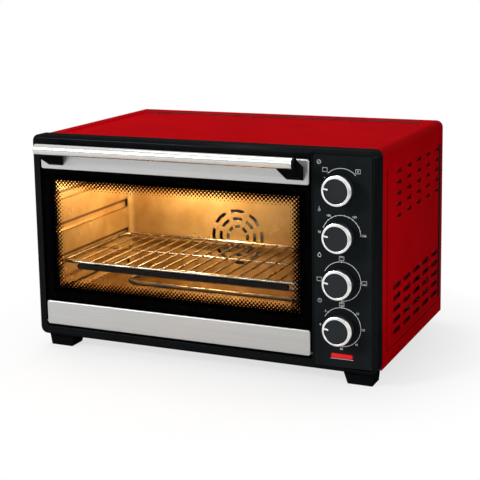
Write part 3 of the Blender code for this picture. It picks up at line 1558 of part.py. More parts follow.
def build_knob(label, z, axis_empty):
    """One knob: the bright flared ring with its pointer, the dark hollow body and the shaft."""
    front = -KNOB_REACH
    base = -KNOB_BASE_GAP
    inside = KNOB_RADIUS - KNOB_RIM
    flared = front + KNOB_FLARE_LENGTH
    ring_back = flared + KNOB_RING_EDGE
    profile = [
        (front, inside),
        (front, KNOB_RADIUS - KNOB_RIM_BEVEL),
        (front + KNOB_RIM_BEVEL, KNOB_RADIUS),
        (flared, KNOB_RADIUS + KNOB_FLARE),
        (ring_back, KNOB_RADIUS + KNOB_FLARE),
        (ring_back, inside),
    ]
    ring = solid(f"{label}_knob_ring", turned("Y", KNOB_X, z, profile, KNOB_SIDES))
    cap_front = front + KNOB_FACE_SINK
    cap_back = cap_front + KNOB_FACE_THICKNESS
    outer = inside + KNOB_RIM / 2
    inner = inside - POINTER_LENGTH
    turn = Matrix.Rotation(POINTER_ANGLE, 2)
    half = POINTER_WIDTH / 2
    corners = [turn @ Vector(corner) for corner in rectangle(inner, outer, -half, half)]
    pointer = [(KNOB_X + corner.x, z + corner.y) for corner in corners]
    join(ring, prism("Y", pointer, front + KNOB_RIM_BEVEL / 2, cap_front - FIT_GAP))
    dress(hang(ring, axis_empty), KNOB_SILVER)
    collar = ring_back + FIT_GAP
    neck = inside - FIT_GAP
    steps = [(cap_front, neck), (collar, neck), (collar, KNOB_BODY), (base, KNOB_BODY)]
    cap = solid(f"{label}_knob_cap", stepped_rod("Y", KNOB_X, z, steps))
    hollow = [
        (cap_back, neck - KNOB_BODY_WALL),
        (collar + KNOB_BODY_WALL, neck - KNOB_BODY_WALL),
        (collar + KNOB_BODY_WALL, KNOB_BODY - KNOB_BODY_WALL),
        (base + CUT_OVERRUN, KNOB_BODY - KNOB_BODY_WALL),
    ]
    cut(cap, stepped_rod("Y", KNOB_X, z, hollow))
    hub_front = cap_back - KNOB_FACE_THICKNESS / 2
    join(cap, rod("Y", KNOB_X, z, KNOB_HUB, hub_front, cap_back + KNOB_HUB_LENGTH))
    shaft_front = cap_back + KNOB_FACE_THICKNESS
    cut(
        cap,
        prism(
            "Y",
            shaft_outline(z, FIT_GAP),
            shaft_front - FIT_GAP,
            cap_back + KNOB_HUB_LENGTH + CUT_OVERRUN,
        ),
    )
    dress(hang(cap, axis_empty), KNOB_BLACK)
    shaft = solid(
        f"{label}_shaft", prism("Y", shaft_outline(z, 0), shaft_front, shaft_front + SHAFT_LENGTH)
    )
    dress(hang(shaft, axis_empty), SCREW_STEEL)


def shaft_outline(z, grow):
    """Return a round shaft's section with one flat on top."""
    radius = SHAFT_RADIUS + grow
    flat = radius - SHAFT_FLAT
    return [(u, min(v, z + flat)) for u, v in circle(KNOB_X, z, radius, SMALL_SIDES)]


def control_body(name, z, outline, depth, finish, extra=None):
    """Make one control behind the panel: a body, a bush through the panel and a bore for the shaft."""
    body = solid(name, prism("Y", outline, PANEL_BACK, PANEL_BACK + depth))
    join(body, rod("Y", KNOB_X, z, BUSH_RADIUS, -BUSH_REACH, PANEL_BACK + SHAFT_RADIUS, SMALL_SIDES))
    if extra is not None:
        join(body, extra)
    bore = SHAFT_RADIUS + FIT_GAP
    cut(
        body,
        rod("Y", KNOB_X, z, bore, -BUSH_REACH - CUT_OVERRUN, SHAFT_BORE_DEPTH, SMALL_SIDES),
    )
    dress(body, finish)


def build_controls():
    """The convection switch, the thermostat, the function switch and the timer with its bell."""
    switch_z, thermostat_z, selector_z, timer_z = KNOB_ZS
    half = SWITCH_SIZE / 2
    outline = rectangle(KNOB_X - half, KNOB_X + half, switch_z - half, switch_z + half)
    control_body("convection_switch", switch_z, outline, SWITCH_DEPTH, SWITCH_BROWN)
    wide = THERMOSTAT_WIDTH / 2
    tall = THERMOSTAT_HEIGHT / 2
    outline = rectangle(KNOB_X - wide, KNOB_X + wide, thermostat_z - tall, thermostat_z + tall)
    back = PANEL_BACK + THERMOSTAT_DEPTH
    capsule = rod(
        "Y", KNOB_X, thermostat_z, THERMOSTAT_CAPSULE, back - SHEET, back + THERMOSTAT_CAPSULE_DEPTH
    )
    control_body("thermostat", thermostat_z, outline, THERMOSTAT_DEPTH, CERAMIC, capsule)
    half = SELECTOR_SIZE / 2
    outline = rectangle(KNOB_X - half, KNOB_X + half, selector_z - half, selector_z + half)
    inner_half = half - SELECTOR_DECK
    deck_start = PANEL_BACK + SELECTOR_DEPTH - SHEET
    deck = prism(
        "Y",
        rectangle(
            KNOB_X - inner_half, KNOB_X + inner_half, selector_z - inner_half, selector_z + inner_half
        ),
        deck_start,
        deck_start + SELECTOR_DECK,
    )
    control_body("function_switch", selector_z, outline, SELECTOR_DEPTH, SWITCH_BROWN, deck)
    back = PANEL_BACK + TIMER_DEPTH
    post = rod("Y", KNOB_X, timer_z, BELL_POST, back - SHEET, back + BELL_POST_LENGTH, SMALL_SIDES)
    can = circle(KNOB_X, timer_z, TIMER_RADIUS, ROUND_SIDES)
    control_body("timer", timer_z, can, TIMER_DEPTH, GALVANISED, post)
    build_bell(timer_z, back)


def build_bell(z, timer_back):
    """The timer's bell: a shallow metal dome on the timer's post."""
    rim = timer_back + FIT_GAP
    hole = BELL_POST + FIT_GAP
    outside = []
    inside = []
    for step in range(DOME_STEPS + 1):
        angle = math.pi / 2 * step / DOME_STEPS
        reach = math.cos(angle)
        rise = math.sin(angle)
        outside.append((rim + BELL_HEIGHT * rise, max(BELL_RADIUS * reach, hole)))
        inner_height = BELL_HEIGHT - BELL_WALL
        inside.append((rim + inner_height * rise, max((BELL_RADIUS - BELL_WALL) * reach, hole)))
    bell = solid("timer_bell", turned("Y", KNOB_X, z, outside + inside[::-1], ROUND_SIDES))
    dress(bell, BRASS)


def build_indicator():
    """The red lens in the panel and the neon lamp behind it."""
    lens = solid("indicator_lens", prism("Y", lens_outline(0), -LENS_PROUD, PANEL_BACK + FIT_GAP))
    flange_back = PANEL_BACK + LENS_FLANGE_THICKNESS
    join(lens, prism("Y", lens_outline(LENS_FLANGE), PANEL_BACK, flange_back))
    dress(lens, LENS_RED)
    half = NEON_LENGTH / 2
    centre_y = flange_back + FIT_GAP + NEON_RADIUS
    lamp = rod(
        "X", centre_y, LENS_CENTRE_HEIGHT, NEON_RADIUS, LENS_X - half, LENS_X + half, SMALL_SIDES
    )
    dress(solid("indicator_lamp", lamp), CLEAR_GLASS)


def build_wiring_end():
    """The terminal block on the base plate and the gland that the mains cord comes in through."""
    x0 = GLAND_X - TERMINAL_LENGTH / 2
    y1 = REAR_PAN_FRONT - RUNNING_GAP
    z0 = BASE_THICKNESS + FIT_GAP
    terminal = solid(
        "terminal_block",
        block(x0, x0 + TERMINAL_LENGTH, y1 - TERMINAL_WIDTH, y1, z0, z0 + TERMINAL_HEIGHT),
    )
    bores = []
    for way in range(TERMINAL_WAYS):
        x = x0 + TERMINAL_LENGTH * (way + 1 / 2) / TERMINAL_WAYS
        bores.append(
            rod(
                "Y",
                x,
                z0 + TERMINAL_HEIGHT / 2,
                TERMINAL_BORE,
                y1 - TERMINAL_WIDTH - CUT_OVERRUN,
                y1 + CUT_OVERRUN,
                SMALL_SIDES,
            )
        )
    cut(terminal, *bores)
    dress(terminal, CERAMIC)
    inside = REAR_PLATE_FRONT - FIT_GAP
    outside = SHELL_BACK + GLAND_REACH
    flange_start = REAR_PLATE_BACK + FIT_GAP
    profile = [
        (inside - GLAND_FLANGE_THICKNESS, GLAND_BORE),
        (inside - GLAND_FLANGE_THICKNESS, GLAND_FLANGE),
        (inside, GLAND_FLANGE),
        (inside, GLAND_RADIUS),
        (flange_start, GLAND_RADIUS),
        (flange_start, GLAND_FLANGE),
        (flange_start + GLAND_FLANGE_THICKNESS, GLAND_FLANGE),
        (outside, GLAND_RADIUS),
        (outside, GLAND_BORE),
    ]
    dress(solid("cord_gland", turned("Y", GLAND_X, GLAND_HEIGHT, profile, SMALL_SIDES)), BLACK_PLASTIC)


def main():
    global datum
    for obj in list(bpy.data.objects):
        bpy.data.objects.remove(obj, do_unlink=True)
    datum = bpy.data.objects.new("oven_datum", None)
    bpy.context.scene.collection.objects.link(datum)
    datum.location = (0, FACE_Y, FOOT_HEIGHT)
    build_front_frame()
    build_control_panel()
    build_outer_shell()
    build_rear_cover()
    build_base_plate()
    build_feet()
    build_cavity()
    build_heat_shield()
    build_heating()
    build_lamp()
    build_fan(pivot("fan_axis", RECESS_CENTRE, FAN_CHAMBER_FRONT, FAN_Z))
    build_wire_rack(pivot("rack_slide", RECESS_CENTRE, CAVITY_FRONT, channel_bottoms()[RACK_CHANNEL]))
    door_axis = pivot("door_axis", RECESS_CENTRE, HINGE_Y, HINGE_Z)
    build_door_glass(door_axis)
    build_top_trim(door_axis)
    build_bottom_trim(door_axis)
    build_hinges(door_axis)
    build_handle(door_axis)
    labels = ("convection", "thermostat", "function", "timer")
    for label, z in zip(labels, KNOB_ZS):
        build_knob(label, z, pivot(f"{label}_axis", KNOB_X, 0, z))
    build_controls()
    build_indicator()
    build_wiring_end()


main()
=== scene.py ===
"""Countertop electric oven: its finishes, fine shapes, studio and camera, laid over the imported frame.

All lengths are metres. X runs to the right, Y back into the oven and Z up from the table.
"""
import json
import logging
import math
from collections.abc import Sequence
from dataclasses import dataclass
from enum import Enum

import bmesh
import bpy
from mathutils import Matrix, Vector

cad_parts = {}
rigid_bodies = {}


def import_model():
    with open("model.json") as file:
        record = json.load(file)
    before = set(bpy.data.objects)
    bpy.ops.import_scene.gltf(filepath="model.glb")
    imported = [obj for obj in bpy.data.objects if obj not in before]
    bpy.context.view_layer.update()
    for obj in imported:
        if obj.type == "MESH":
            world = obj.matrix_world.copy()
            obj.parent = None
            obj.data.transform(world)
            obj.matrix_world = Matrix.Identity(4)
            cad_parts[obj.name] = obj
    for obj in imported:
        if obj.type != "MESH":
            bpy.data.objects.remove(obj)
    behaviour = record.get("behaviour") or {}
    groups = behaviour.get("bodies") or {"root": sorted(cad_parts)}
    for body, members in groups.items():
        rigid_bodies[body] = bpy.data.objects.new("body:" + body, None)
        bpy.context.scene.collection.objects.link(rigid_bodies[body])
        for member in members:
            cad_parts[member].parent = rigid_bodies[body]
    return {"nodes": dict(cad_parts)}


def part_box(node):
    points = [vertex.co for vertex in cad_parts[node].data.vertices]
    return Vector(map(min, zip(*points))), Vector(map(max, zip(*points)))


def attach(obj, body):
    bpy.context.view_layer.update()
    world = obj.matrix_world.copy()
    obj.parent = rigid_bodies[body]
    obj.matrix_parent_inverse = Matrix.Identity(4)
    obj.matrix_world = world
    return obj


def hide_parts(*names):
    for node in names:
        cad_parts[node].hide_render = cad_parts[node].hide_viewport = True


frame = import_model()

LOG = logging.getLogger("oven")
MM = 0.001
WELD = 1e-6
QUARTER = math.pi / 2
TURN = 2 * math.pi
SIDES = (-1, 1)
IMAGE_SIZE = 480
SENSOR = 36.0
# How far a punch or drill stands out of the sheet on each side.
REACH = 3 * MM
# A round end's radius as a share of the half width, so that no two corners meet.
ROUND_END = 0.999
# The colour sockets of a Mix node, which share their names with its other kinds.
MIX_FIRST, MIX_SECOND, MIX_RESULT = 6, 7, 2

Pair = tuple[float, float]
Triple = tuple[float, float, float]
Outline = list[Pair]
Colour = tuple[float, float, float, float]
Tree = bpy.types.NodeTree
Node = bpy.types.Node
Socket = bpy.types.NodeSocket
Object = bpy.types.Object
Material = bpy.types.Material
Mesh = bmesh.types.BMesh
Vert = bmesh.types.BMVert


class Axis(Enum):
    """The world's axes, for grain directions and turned pieces."""

    X = 0
    Y = 1
    Z = 2


class Body(Enum):
    """The bodies that move apart."""

    OVEN = "oven_body"
    DOOR = "door"
    RACK = "rack"
    FAN = "fan"
    CONVECTION = "convection_knob"
    THERMOSTAT = "thermostat_knob"
    FUNCTION = "function_knob"
    TIMER = "timer_knob"


def linear(colour: str) -> Colour:
    """Turn an sRGB hex colour into linear components with full alpha.

    Args:
        colour: six hex digits, red first.

    Returns:
        Red, green, blue and alpha, linear.
    """
    levels = [int(colour[index : index + 2], 16) / 255 for index in (0, 2, 4)]
    red, green, blue = (
        level / 12.92 if level <= 0.04045 else ((level + 0.055) / 1.055) ** 2.4 for level in levels
    )
    return red, green, blue, 1.0


def add_node(tree: Tree, kind: str, inputs: dict[str | int, object] | None = None, **settings: object) -> Node:
    """Add one node, set its settings, and fill or link its inputs.

    Args:
        tree: the tree that gets the node.
        kind: the node's type.
        inputs: a value or another node's output for each input, by name or number.
        settings: the node's own settings.

    Returns:
        The new node.
    """
    node = tree.nodes.new(kind)
    for name, value in settings.items():
        setattr(node, name, value)
    for name, value in (inputs or {}).items():
        if isinstance(value, Socket):
            tree.links.new(value, node.inputs[name])
        else:
            node.inputs[name].default_value = value
    return node


def empty_tree(owner: Material | bpy.types.World) -> Tree:
    """Give a material or world a node tree with nothing in it, and return the tree."""
    owner.use_nodes = True
    owner.node_tree.nodes.clear()
    return owner.node_tree


# Finishes


@dataclass
class Surface:
    """A material in the making: its tree, its main shader, and the place on the piece."""

    tree: Tree
    shader: Node
    place: Socket


@dataclass(frozen=True)
class Finish:
    """A surface: its shop name, colour and gloss, the clouds in which they wander, and its fine relief.

    Clouds and relief are given by the size of their patches; a relief of no height isn't drawn.
    """

    name: str
    colour: str
    roughness: float
    metallic: float = 0.0
    specular: float = 0.5
    shade: str = "000000"
    swing: float = 0.05
    coat: float = 0.0
    coat_ior: float = 1.5
    coat_roughness: float = 0.12
    cloud: float = 25 * MM
    cloud_detail: float = 2.0
    relief: float = 1 * MM
    relief_detail: float = 2.0
    height: float = 0.0

    def material(self) -> Material:
        """Return the finish's material, made the first time that it is asked for."""
        made = bpy.data.materials.get(self.name)
        if made is None:
            made = bpy.data.materials.new(self.name)
            tree = empty_tree(made)
            look = {
                "Base Color": linear(self.colour), "Roughness": self.roughness, "Metallic": self.metallic,
                "Specular IOR Level": self.specular, "Coat Weight": self.coat, "Coat IOR": self.coat_ior,
                "Coat Roughness": self.coat_roughness,
            }
            shader = add_node(tree, "ShaderNodeBsdfPrincipled", look)
            add_node(tree, "ShaderNodeOutputMaterial", {"Surface": shader.outputs["BSDF"]})
            self.detail(Surface(tree, shader, add_node(tree, "ShaderNodeTexCoord").outputs["Object"]))
        return made

    def detail(self, made: Surface) -> None:
        """Add the clouds and the relief.

        Args:
            made: the material in the making.
        """
        clouds = {"Vector": made.place, "Scale": 1 / self.cloud, "Detail": self.cloud_detail}
        self.stain(made, add_node(made.tree, "ShaderNodeTexNoise", clouds).outputs["Fac"])
        if self.height:
            self.roughen(made)

    def stain(self, made: Surface, pattern: Socket, low: float = 0.35, high: float = 0.65) -> None:
        """Let a pattern move the colour towards the shade, and the gloss by the swing.

        Args:
            made: the material in the making.
            pattern: an output that runs about from 0 to 1.
            low: the pattern's value where the colour is the plain one.
            high: the pattern's value where the shade is full.
        """
        span = {"Value": pattern, "From Min": low, "From Max": high}
        amount = add_node(made.tree, "ShaderNodeMapRange", span).outputs["Result"]
        colours = {"Factor": amount, MIX_FIRST: linear(self.colour), MIX_SECOND: linear(self.shade)}
        tint = add_node(made.tree, "ShaderNodeMix", colours, data_type="RGBA")
        swing = {"To Min": self.roughness - self.swing, "To Max": self.roughness + self.swing}
        gloss = add_node(made.tree, "ShaderNodeMapRange", span | swing)
        made.tree.links.new(tint.outputs[MIX_RESULT], made.shader.inputs["Base Color"])
        made.tree.links.new(gloss.outputs["Result"], made.shader.inputs["Roughness"])

    def roughen(self, made: Surface) -> None:
        """Emboss the surface with the finish's own relief."""
        grain = {"Vector": made.place, "Scale": 1 / self.relief, "Detail": self.relief_detail}
        self.emboss(made, add_node(made.tree, "ShaderNodeTexNoise", grain).outputs["Fac"])

    def emboss(self, made: Surface, pattern: Socket) -> None:
        """Raise the surface by a pattern, to the finish's height."""
        bump = add_node(made.tree, "ShaderNodeBump", {"Height": pattern, "Distance": self.height, "Strength": 1.0})
        made.tree.links.new(bump.outputs["Normal"], made.shader.inputs["Normal"])


@dataclass(frozen=True)
class MouldedPlastic(Finish):
    """Injection-moulded plastic: a fine spark-eroded grain over slow clouds of gloss.

    The grain is drawn a little coarser than the real half millimetre, so that it shows.
    """

    cloud: float = 40 * MM
    cloud_detail: float = 3.0
    relief: float = 0.9 * MM
    height: float = 0.012 * MM


@dataclass(frozen=True)
class Enamel(Finish):
    """Baked paint on steel: slow pools of a deep colour, with the faint ripple that sprayers call orange peel."""

    cloud: float = 90 * MM
    relief: float = 2.2 * MM
    relief_detail: float = 1.0
    height: float = 0.006 * MM


@dataclass(frozen=True)
class HeatedSheet(Finish):
    """Aluminised steel that has been baked: rolled to a fine pebble, with a straw-coloured bloom in clouds."""

    cloud: float = 60 * MM
    cloud_detail: float = 4.0
    relief: float = 3 * MM
    height: float = 0.02 * MM


@dataclass(frozen=True)
class GalvanisedSheet(Finish):
    """Hot-dipped zinc on steel: flat crystals a few millimetres wide, each a little lighter or darker."""

    spangle: float = 7 * MM
    wander: float = 4 * MM
    stray: float = 2 * MM

    def detail(self, made: Surface) -> None:
        """Add the crystals, with edges that wander.

        Args:
            made: the material in the making.
        """
        tree = made.tree
        wander = add_node(tree, "ShaderNodeTexNoise", {"Vector": made.place, "Scale": 1 / self.wander})
        strayed = {0: wander.outputs["Color"], 1: (self.stray, self.stray, self.stray), 2: made.place}
        shift = add_node(tree, "ShaderNodeVectorMath", strayed, operation="MULTIPLY_ADD").outputs["Vector"]
        crystal = add_node(tree, "ShaderNodeTexVoronoi", {"Vector": shift, "Scale": 1 / self.spangle})
        tone = add_node(tree, "ShaderNodeSeparateColor", {"Color": crystal.outputs["Color"]})
        self.stain(made, tone.outputs["Red"], 0.0, 1.0)


@dataclass(frozen=True)
class BrushedMetal(Finish):
    """Metal rubbed along one axis with a belt: long hair lines that stretch each highlight across them.

    Real lines are a tenth of a millimetre apart; these are as fine as the eye sees in the picture.
    """

    grain: Axis = Axis.X
    line: float = 0.8 * MM
    run: float = 120 * MM
    height: float = 0.004 * MM

    def detail(self, made: Surface) -> None:
        """Add the lines.

        Args:
            made: the material in the making.
        """
        scale = [1 / self.line] * 3
        scale[self.grain.value] = 1 / self.run
        stretched = add_node(made.tree, "ShaderNodeMapping", {"Vector": made.place, "Scale": scale})
        spread = {"Vector": stretched.outputs["Vector"], "Scale": 1.0, "Detail": 4.0}
        hair = add_node(made.tree, "ShaderNodeTexNoise", spread).outputs["Fac"]
        self.stain(made, hair)
        self.emboss(made, hair)


@dataclass(frozen=True)
class TurnedMetal(Finish):
    """Metal turned on a lathe and plated: rings that follow the piece's own UV map across its profile."""

    ring: float = 0.5 * MM
    round_trip: float = 20.0
    height: float = 0.003 * MM

    def detail(self, made: Surface) -> None:
        """Add the rings from the UV map's second value, which is the length along the profile.

        Args:
            made: the material in the making.
        """
        unrolled = add_node(made.tree, "ShaderNodeTexCoord").outputs["UV"]
        stretch = {"Vector": unrolled, "Scale": (self.round_trip, 1 / self.ring, 1.0)}
        rings = add_node(made.tree, "ShaderNodeMapping", stretch).outputs["Vector"]
        cut = add_node(made.tree, "ShaderNodeTexNoise", {"Vector": rings, "Scale": 1.0}).outputs["Fac"]
        self.stain(made, cut)
        self.emboss(made, cut)


@dataclass(frozen=True)
class HeaterSheath(Finish):
    """A nickel-steel tube that glows in use: grey with straw and blue where it has run hottest."""

    cloud: float = 35 * MM
    cloud_detail: float = 3.0
    straw: str = "6B5A45"
    tempers: Triple = (0.35, 0.52, 0.68)
    relief: float = 1.5 * MM
    height: float = 0.02 * MM

    def detail(self, made: Surface) -> None:
        """Add temper colours that change slowly along the tube, and its scale.

        Args:
            made: the material in the making.
        """
        clouds = {"Vector": made.place, "Scale": 1 / self.cloud, "Detail": self.cloud_detail}
        heat = add_node(made.tree, "ShaderNodeTexNoise", clouds)
        ramp = add_node(made.tree, "ShaderNodeValToRGB", {"Fac": heat.outputs["Fac"]})
        stops = ramp.color_ramp.elements
        stops[0].position, stops[1].position = self.tempers[0], self.tempers[2]
        stops[0].color, stops[1].color = linear(self.colour), linear(self.shade)
        stops.new(self.tempers[1]).color = linear(self.straw)
        made.tree.links.new(ramp.outputs["Color"], made.shader.inputs["Base Color"])
        self.roughen(made)


@dataclass(frozen=True)
class TintedGlass(Finish):
    """Toughened float glass: dark and thin, with the slow roll waves of tempering; it hides nothing behind it."""

    tint: float = 0.1
    cloud: float = 30 * MM

    def detail(self, made: Surface) -> None:
        """Set how much light the pane takes, and add the waves."""
        made.shader.inputs["Alpha"].default_value = self.tint
        super().detail(made)


@dataclass(frozen=True)
class ClearGlass(Finish):
    """Pressed glass: clear, with the slow waves that pressing leaves."""

    relief: float = 6 * MM
    height: float = 0.05 * MM

    def detail(self, made: Surface) -> None:
        """Let light through and add the waves."""
        made.shader.inputs["Transmission Weight"].default_value = 1.0
        self.roughen(made)


@dataclass(frozen=True)
class GlowingLens(Finish):
    """A red acrylic lens with a neon lamp behind it: deep, lit from within, its back ribs soft upright bands."""

    glow: float = 0.2
    rib: float = 1.2 * MM

    def detail(self, made: Surface) -> None:
        """Add the glow and the ribs.

        Args:
            made: the material in the making.
        """
        made.shader.inputs["Emission Color"].default_value = linear(self.colour)
        made.shader.inputs["Emission Strength"].default_value = self.glow
        across = add_node(made.tree, "ShaderNodeSeparateXYZ", {"Vector": made.place}).outputs["X"]
        turn = add_node(made.tree, "ShaderNodeMath", {0: across, 1: TURN / self.rib}, operation="MULTIPLY")
        rib = add_node(made.tree, "ShaderNodeMath", {0: turn.outputs[0]}, operation="SINE")
        self.stain(made, rib.outputs[0], -1.0, 1.0)


class Stock:
    """Every finish on the oven; those of the record's slots have the slots' names."""

    black_plastic = MouldedPlastic(
        "moulded_abs_black", "0C0E10", 0.4, specular=0.0, shade="0A0C0D", coat=0.02, coat_ior=2.6,
        coat_roughness=0.15,
    )
    panel_black = MouldedPlastic(
        "printed_panel_black", "191D1F", 0.45, specular=0.0, shade="161A1B", relief=1.2 * MM, coat=0.008,
        coat_ior=2.6, coat_roughness=0.3,
    )
    red_enamel = Enamel(
        "baked_red_enamel", "B4000A", 0.33, specular=0.0, shade="A80007", swing=0.03, coat=0.008, coat_ior=2.4,
        coat_roughness=0.08,
    )
    # Painted shade: a darker red for the louvre tongues and the bands along the side fields' folds, which lie in shade.
    painted_shade_enamel = Enamel("enamel_in_the_folds", "7A0005", 0.45, specular=0.0, shade="6C0004", swing=0.03)
    galvanised_steel = GalvanisedSheet("galvanised_sheet", "A9ADAF", 0.42, metallic=1.0, shade="8D9295", swing=0.08)
    # The golden colour is partly painted lamp light: a warm tint for the cavity lamp, over the sheet's own straw bloom.
    cavity_steel = HeatedSheet("aluminised_cavity_sheet", "AE8F60", 0.32, metallic=0.7, shade="8F6F40", swing=0.06)
    # Painted shade: a dark brown laid in the shelf channels, where their lips shade the sheet.
    channel_shade_steel = HeatedSheet("browned_channel_edges", "5A3C1C", 0.42, metallic=0.5, shade="432A12", swing=0.06)
    brushed_trim = BrushedMetal("brushed_stainless", "BEBFBE", 0.34, metallic=0.85, shade="B6B7B6", swing=0.03)
    # The handle's rings are drawn coarse: fine ones flicker on so thin a tube.
    polished_tube = TurnedMetal(
        "polished_stainless", "CDCDCA", 0.2, metallic=1.0, shade="C7C7C4", swing=0.02, ring=8 * MM
    )
    knob_silver = TurnedMetal("satin_chrome", "F3F3F3", 0.22, metallic=1.0, shade="EAEAE9", swing=0.03)
    knob_black = MouldedPlastic("satin_cap_black", "282C2E", 0.5, specular=0.05, shade="24282A")
    # Bright wire that heat has yellowed in patches.
    rack_chrome = Finish("chromed_wire", "A8A196", 0.24, metallic=1.0, shade="7D705E")
    # Fired black on the rack's strip: glossy, with a brownish cast.
    strip_black = Finish("enamelled_strip", "1E1F21", 0.35, specular=0.0, shade="26221E", coat=0.02, coat_ior=2.4)
    heater_sheath = HeaterSheath("oxidised_heater_tube", "4B4744", 0.45, metallic=0.9, shade="3D4250")
    # Pressed and fired clay: cream, dull and a little cloudy.
    ceramic = Finish("steatite_ceramic", "E6E0D2", 0.55, shade="D6CEBB")
    clear_glass = ClearGlass("pressed_glass", "FBF4E6", 0.06)
    lens_red = GlowingLens("red_acrylic", "D2000C", 0.12, specular=0.35, shade="BE0008", swing=0.02)
    bell_brass = TurnedMetal("spun_brass", "C09A4C", 0.28, metallic=1.0, shade="A9823A")
    switch_plastic = MouldedPlastic("phenolic_brown", "4A3526", 0.5, shade="3E2C1F")
    foot_rubber = MouldedPlastic("moulded_foot_rubber", "0C0D0E", 0.62, specular=0.0, shade="101112", swing=0.08)
    # Plated fasteners: bright grey, with a faint yellow tarnish.
    zinc_steel = Finish("zinc_plated_steel", "A4A7A8", 0.33, metallic=1.0, shade="8E8F86")
    motor_steel = BrushedMetal("motor_laminations", "8C9296", 0.42, metallic=1.0, shade="6A7074", grain=Axis.Z)
    door_glass = TintedGlass("toughened_glass", "020202", 0.06, specular=0.0, shade="040404", swing=0.02)
    # Ceramic ink behind the glass: deep black, with hardly a sheen of its own.
    glass_black = Finish("fired_black_border", "020202", 0.4, specular=0.0, shade="040404", coat=0.004, coat_ior=2.4)
    # Screen-printed ink: a soft, even white; the painted highlight under the indicator is drawn in it too.
    print_and_highlight_white = Finish("printed_white", "F2F4F5", 0.5, shade="E4E6E8")
    # Painted shadow: near black, laid on the pressed fields' rear slopes where the steep step lies in shade; the
    # punches use it too.
    painted_shade_black = Finish("recess_black", "050505", 0.6, specular=0.1, shade="0A0A0A")


# Shapes


def place(axis: Axis, u: float, v: float, along: float) -> Vector:
    """Return the point at u, v in the plane square to an axis, at a length along it."""
    coordinates = [u, v]
    coordinates.insert(axis.value, along)
    return Vector(coordinates)


def sweep(first: float, last: float, steps: int) -> list[Pair]:
    """Return the cosine and sine of angles in even steps, from first to last in radians."""
    angles = [first + (last - first) * step / steps for step in range(steps + 1)]
    return [(math.cos(angle), math.sin(angle)) for angle in angles]


def circle(u: float, v: float, radius: float, sides: int) -> Outline:
    """Return a regular outline round a place, its first corner to the right."""
    return [(u + radius * across, v + radius * up) for across, up in sweep(0.0, TURN, sides)[:-1]]


def rounded(u0: float, u1: float, v0: float, v1: float, radius: float, steps: int = 6) -> Outline:
    """Return a rectangle with round corners.

    Args:
        u0: the first side.
        u1: the side across from it.
        v0: the lower side.
        v1: the upper side.
        radius: the corners' radius.
        steps: how many lines make a corner.

    Returns:
        The outline, anticlockwise.
    """
    left, right, low, high = u0 + radius, u1 - radius, v0 + radius, v1 - radius
    points = []
    for quarter, (u, v) in enumerate(((left, low), (right, low), (right, high), (left, high)), 2):
        for across, up in sweep(quarter * QUARTER, (quarter + 1) * QUARTER, steps):
            points.append((u + radius * across, v + radius * up))
    return points


def banded(
    low: Vector, high: Vector, corner: float, sections: Sequence[Pair], least: float = 0.0, steps: int = 6
) -> list[list[Vector]]:
    """Return rings that follow a box's outline as seen from the front, for a piece with round corners.

    Args:
        low: the box's lowest corner.
        high: its highest corner.
        corner: the outline's radius.
        sections: for each ring, how far inside the outline it lies, and its Y.
        least: the smallest radius of a ring further inside.
        steps: how many lines make a corner.

    Returns:
        The rings, in the sections' order.
    """
    rings = []
    for inset, y in sections:
        x0, x1, z0, z1 = low.x + inset, high.x - inset, low.z + inset, high.z - inset
        rings.append([place(Axis.Y, x, z, y) for x, z in rounded(x0, x1, z0, z1, max(corner - inset, least), steps)])
    return rings


def between(first: Sequence[Pair], second: Sequence[Pair], front: float, back: float) -> list[list[Vector]]:
    """Return the rings of a flat strip that lies between two outlines and faces the front.

    Args:
        first: places across and up along one edge.
        second: as many places along the other.
        front: the Y of one face.
        back: the Y of the other.

    Returns:
        Rings of four points.
    """
    return [
        [place(Axis.Y, *spot, y) for spot, y in ((near, front), (far, front), (far, back), (near, back))]
        for near, far in zip(first, second)
    ]


def skin(bm: Mesh, rings: Sequence[Sequence[Vector]], looped: bool = False) -> None:
    """Cover a row of rings with faces.

    Args:
        bm: the mesh that gets the faces.
        rings: rings of as many points each.
        looped: whether the last ring joins the first; otherwise both are closed.
    """
    rows = [[bm.verts.new(point) for point in ring] for ring in rings]
    pairs = list(zip(rows, rows[1:]))
    if looped:
        pairs.append((rows[-1], rows[0]))
    else:
        bm.faces.new(rows[0])
        bm.faces.new(rows[-1])
    for near, far in pairs:
        bridge(bm, near, far)


def bridge(bm: Mesh, near: Sequence[Vert], far: Sequence[Vert]) -> None:
    """Join two loops of as many points with a band of faces."""
    for index in range(len(near)):
        after = (index + 1) % len(near)
        bm.faces.new((near[index], near[after], far[after], far[index]))


def prism(bm: Mesh, axis: Axis, outline: Outline, start: float, end: float) -> None:
    """Add an outline pushed along an axis as a closed solid."""
    skin(bm, [[place(axis, u, v, along) for u, v in outline] for along in (start, end)])


def bent_sheet(path: Sequence[Pair], thickness: float) -> Outline:
    """Return the outline of a bent sheet, thickened to the left of its path.

    Args:
        path: the line that one face follows.
        thickness: the sheet's thickness.

    Returns:
        The closed outline.
    """
    line = [Vector(point) for point in path]
    normals = [Vector((near.y - far.y, far.x - near.x)).normalized() for near, far in zip(line, line[1:])]
    far_side = []
    for index, point in enumerate(line):
        before, after = normals[max(index - 1, 0)], normals[min(index, len(normals) - 1)]
        middle = (before + after).normalized()
        far_side.append(point + middle * thickness / middle.dot(before))
    return [tuple(point) for point in line + far_side[::-1]]


def linked(name: str, data: bpy.types.ID) -> Object:
    """Put new data into the scene as an object."""
    made = bpy.data.objects.new(name, data)
    bpy.context.scene.collection.objects.link(made)
    return made


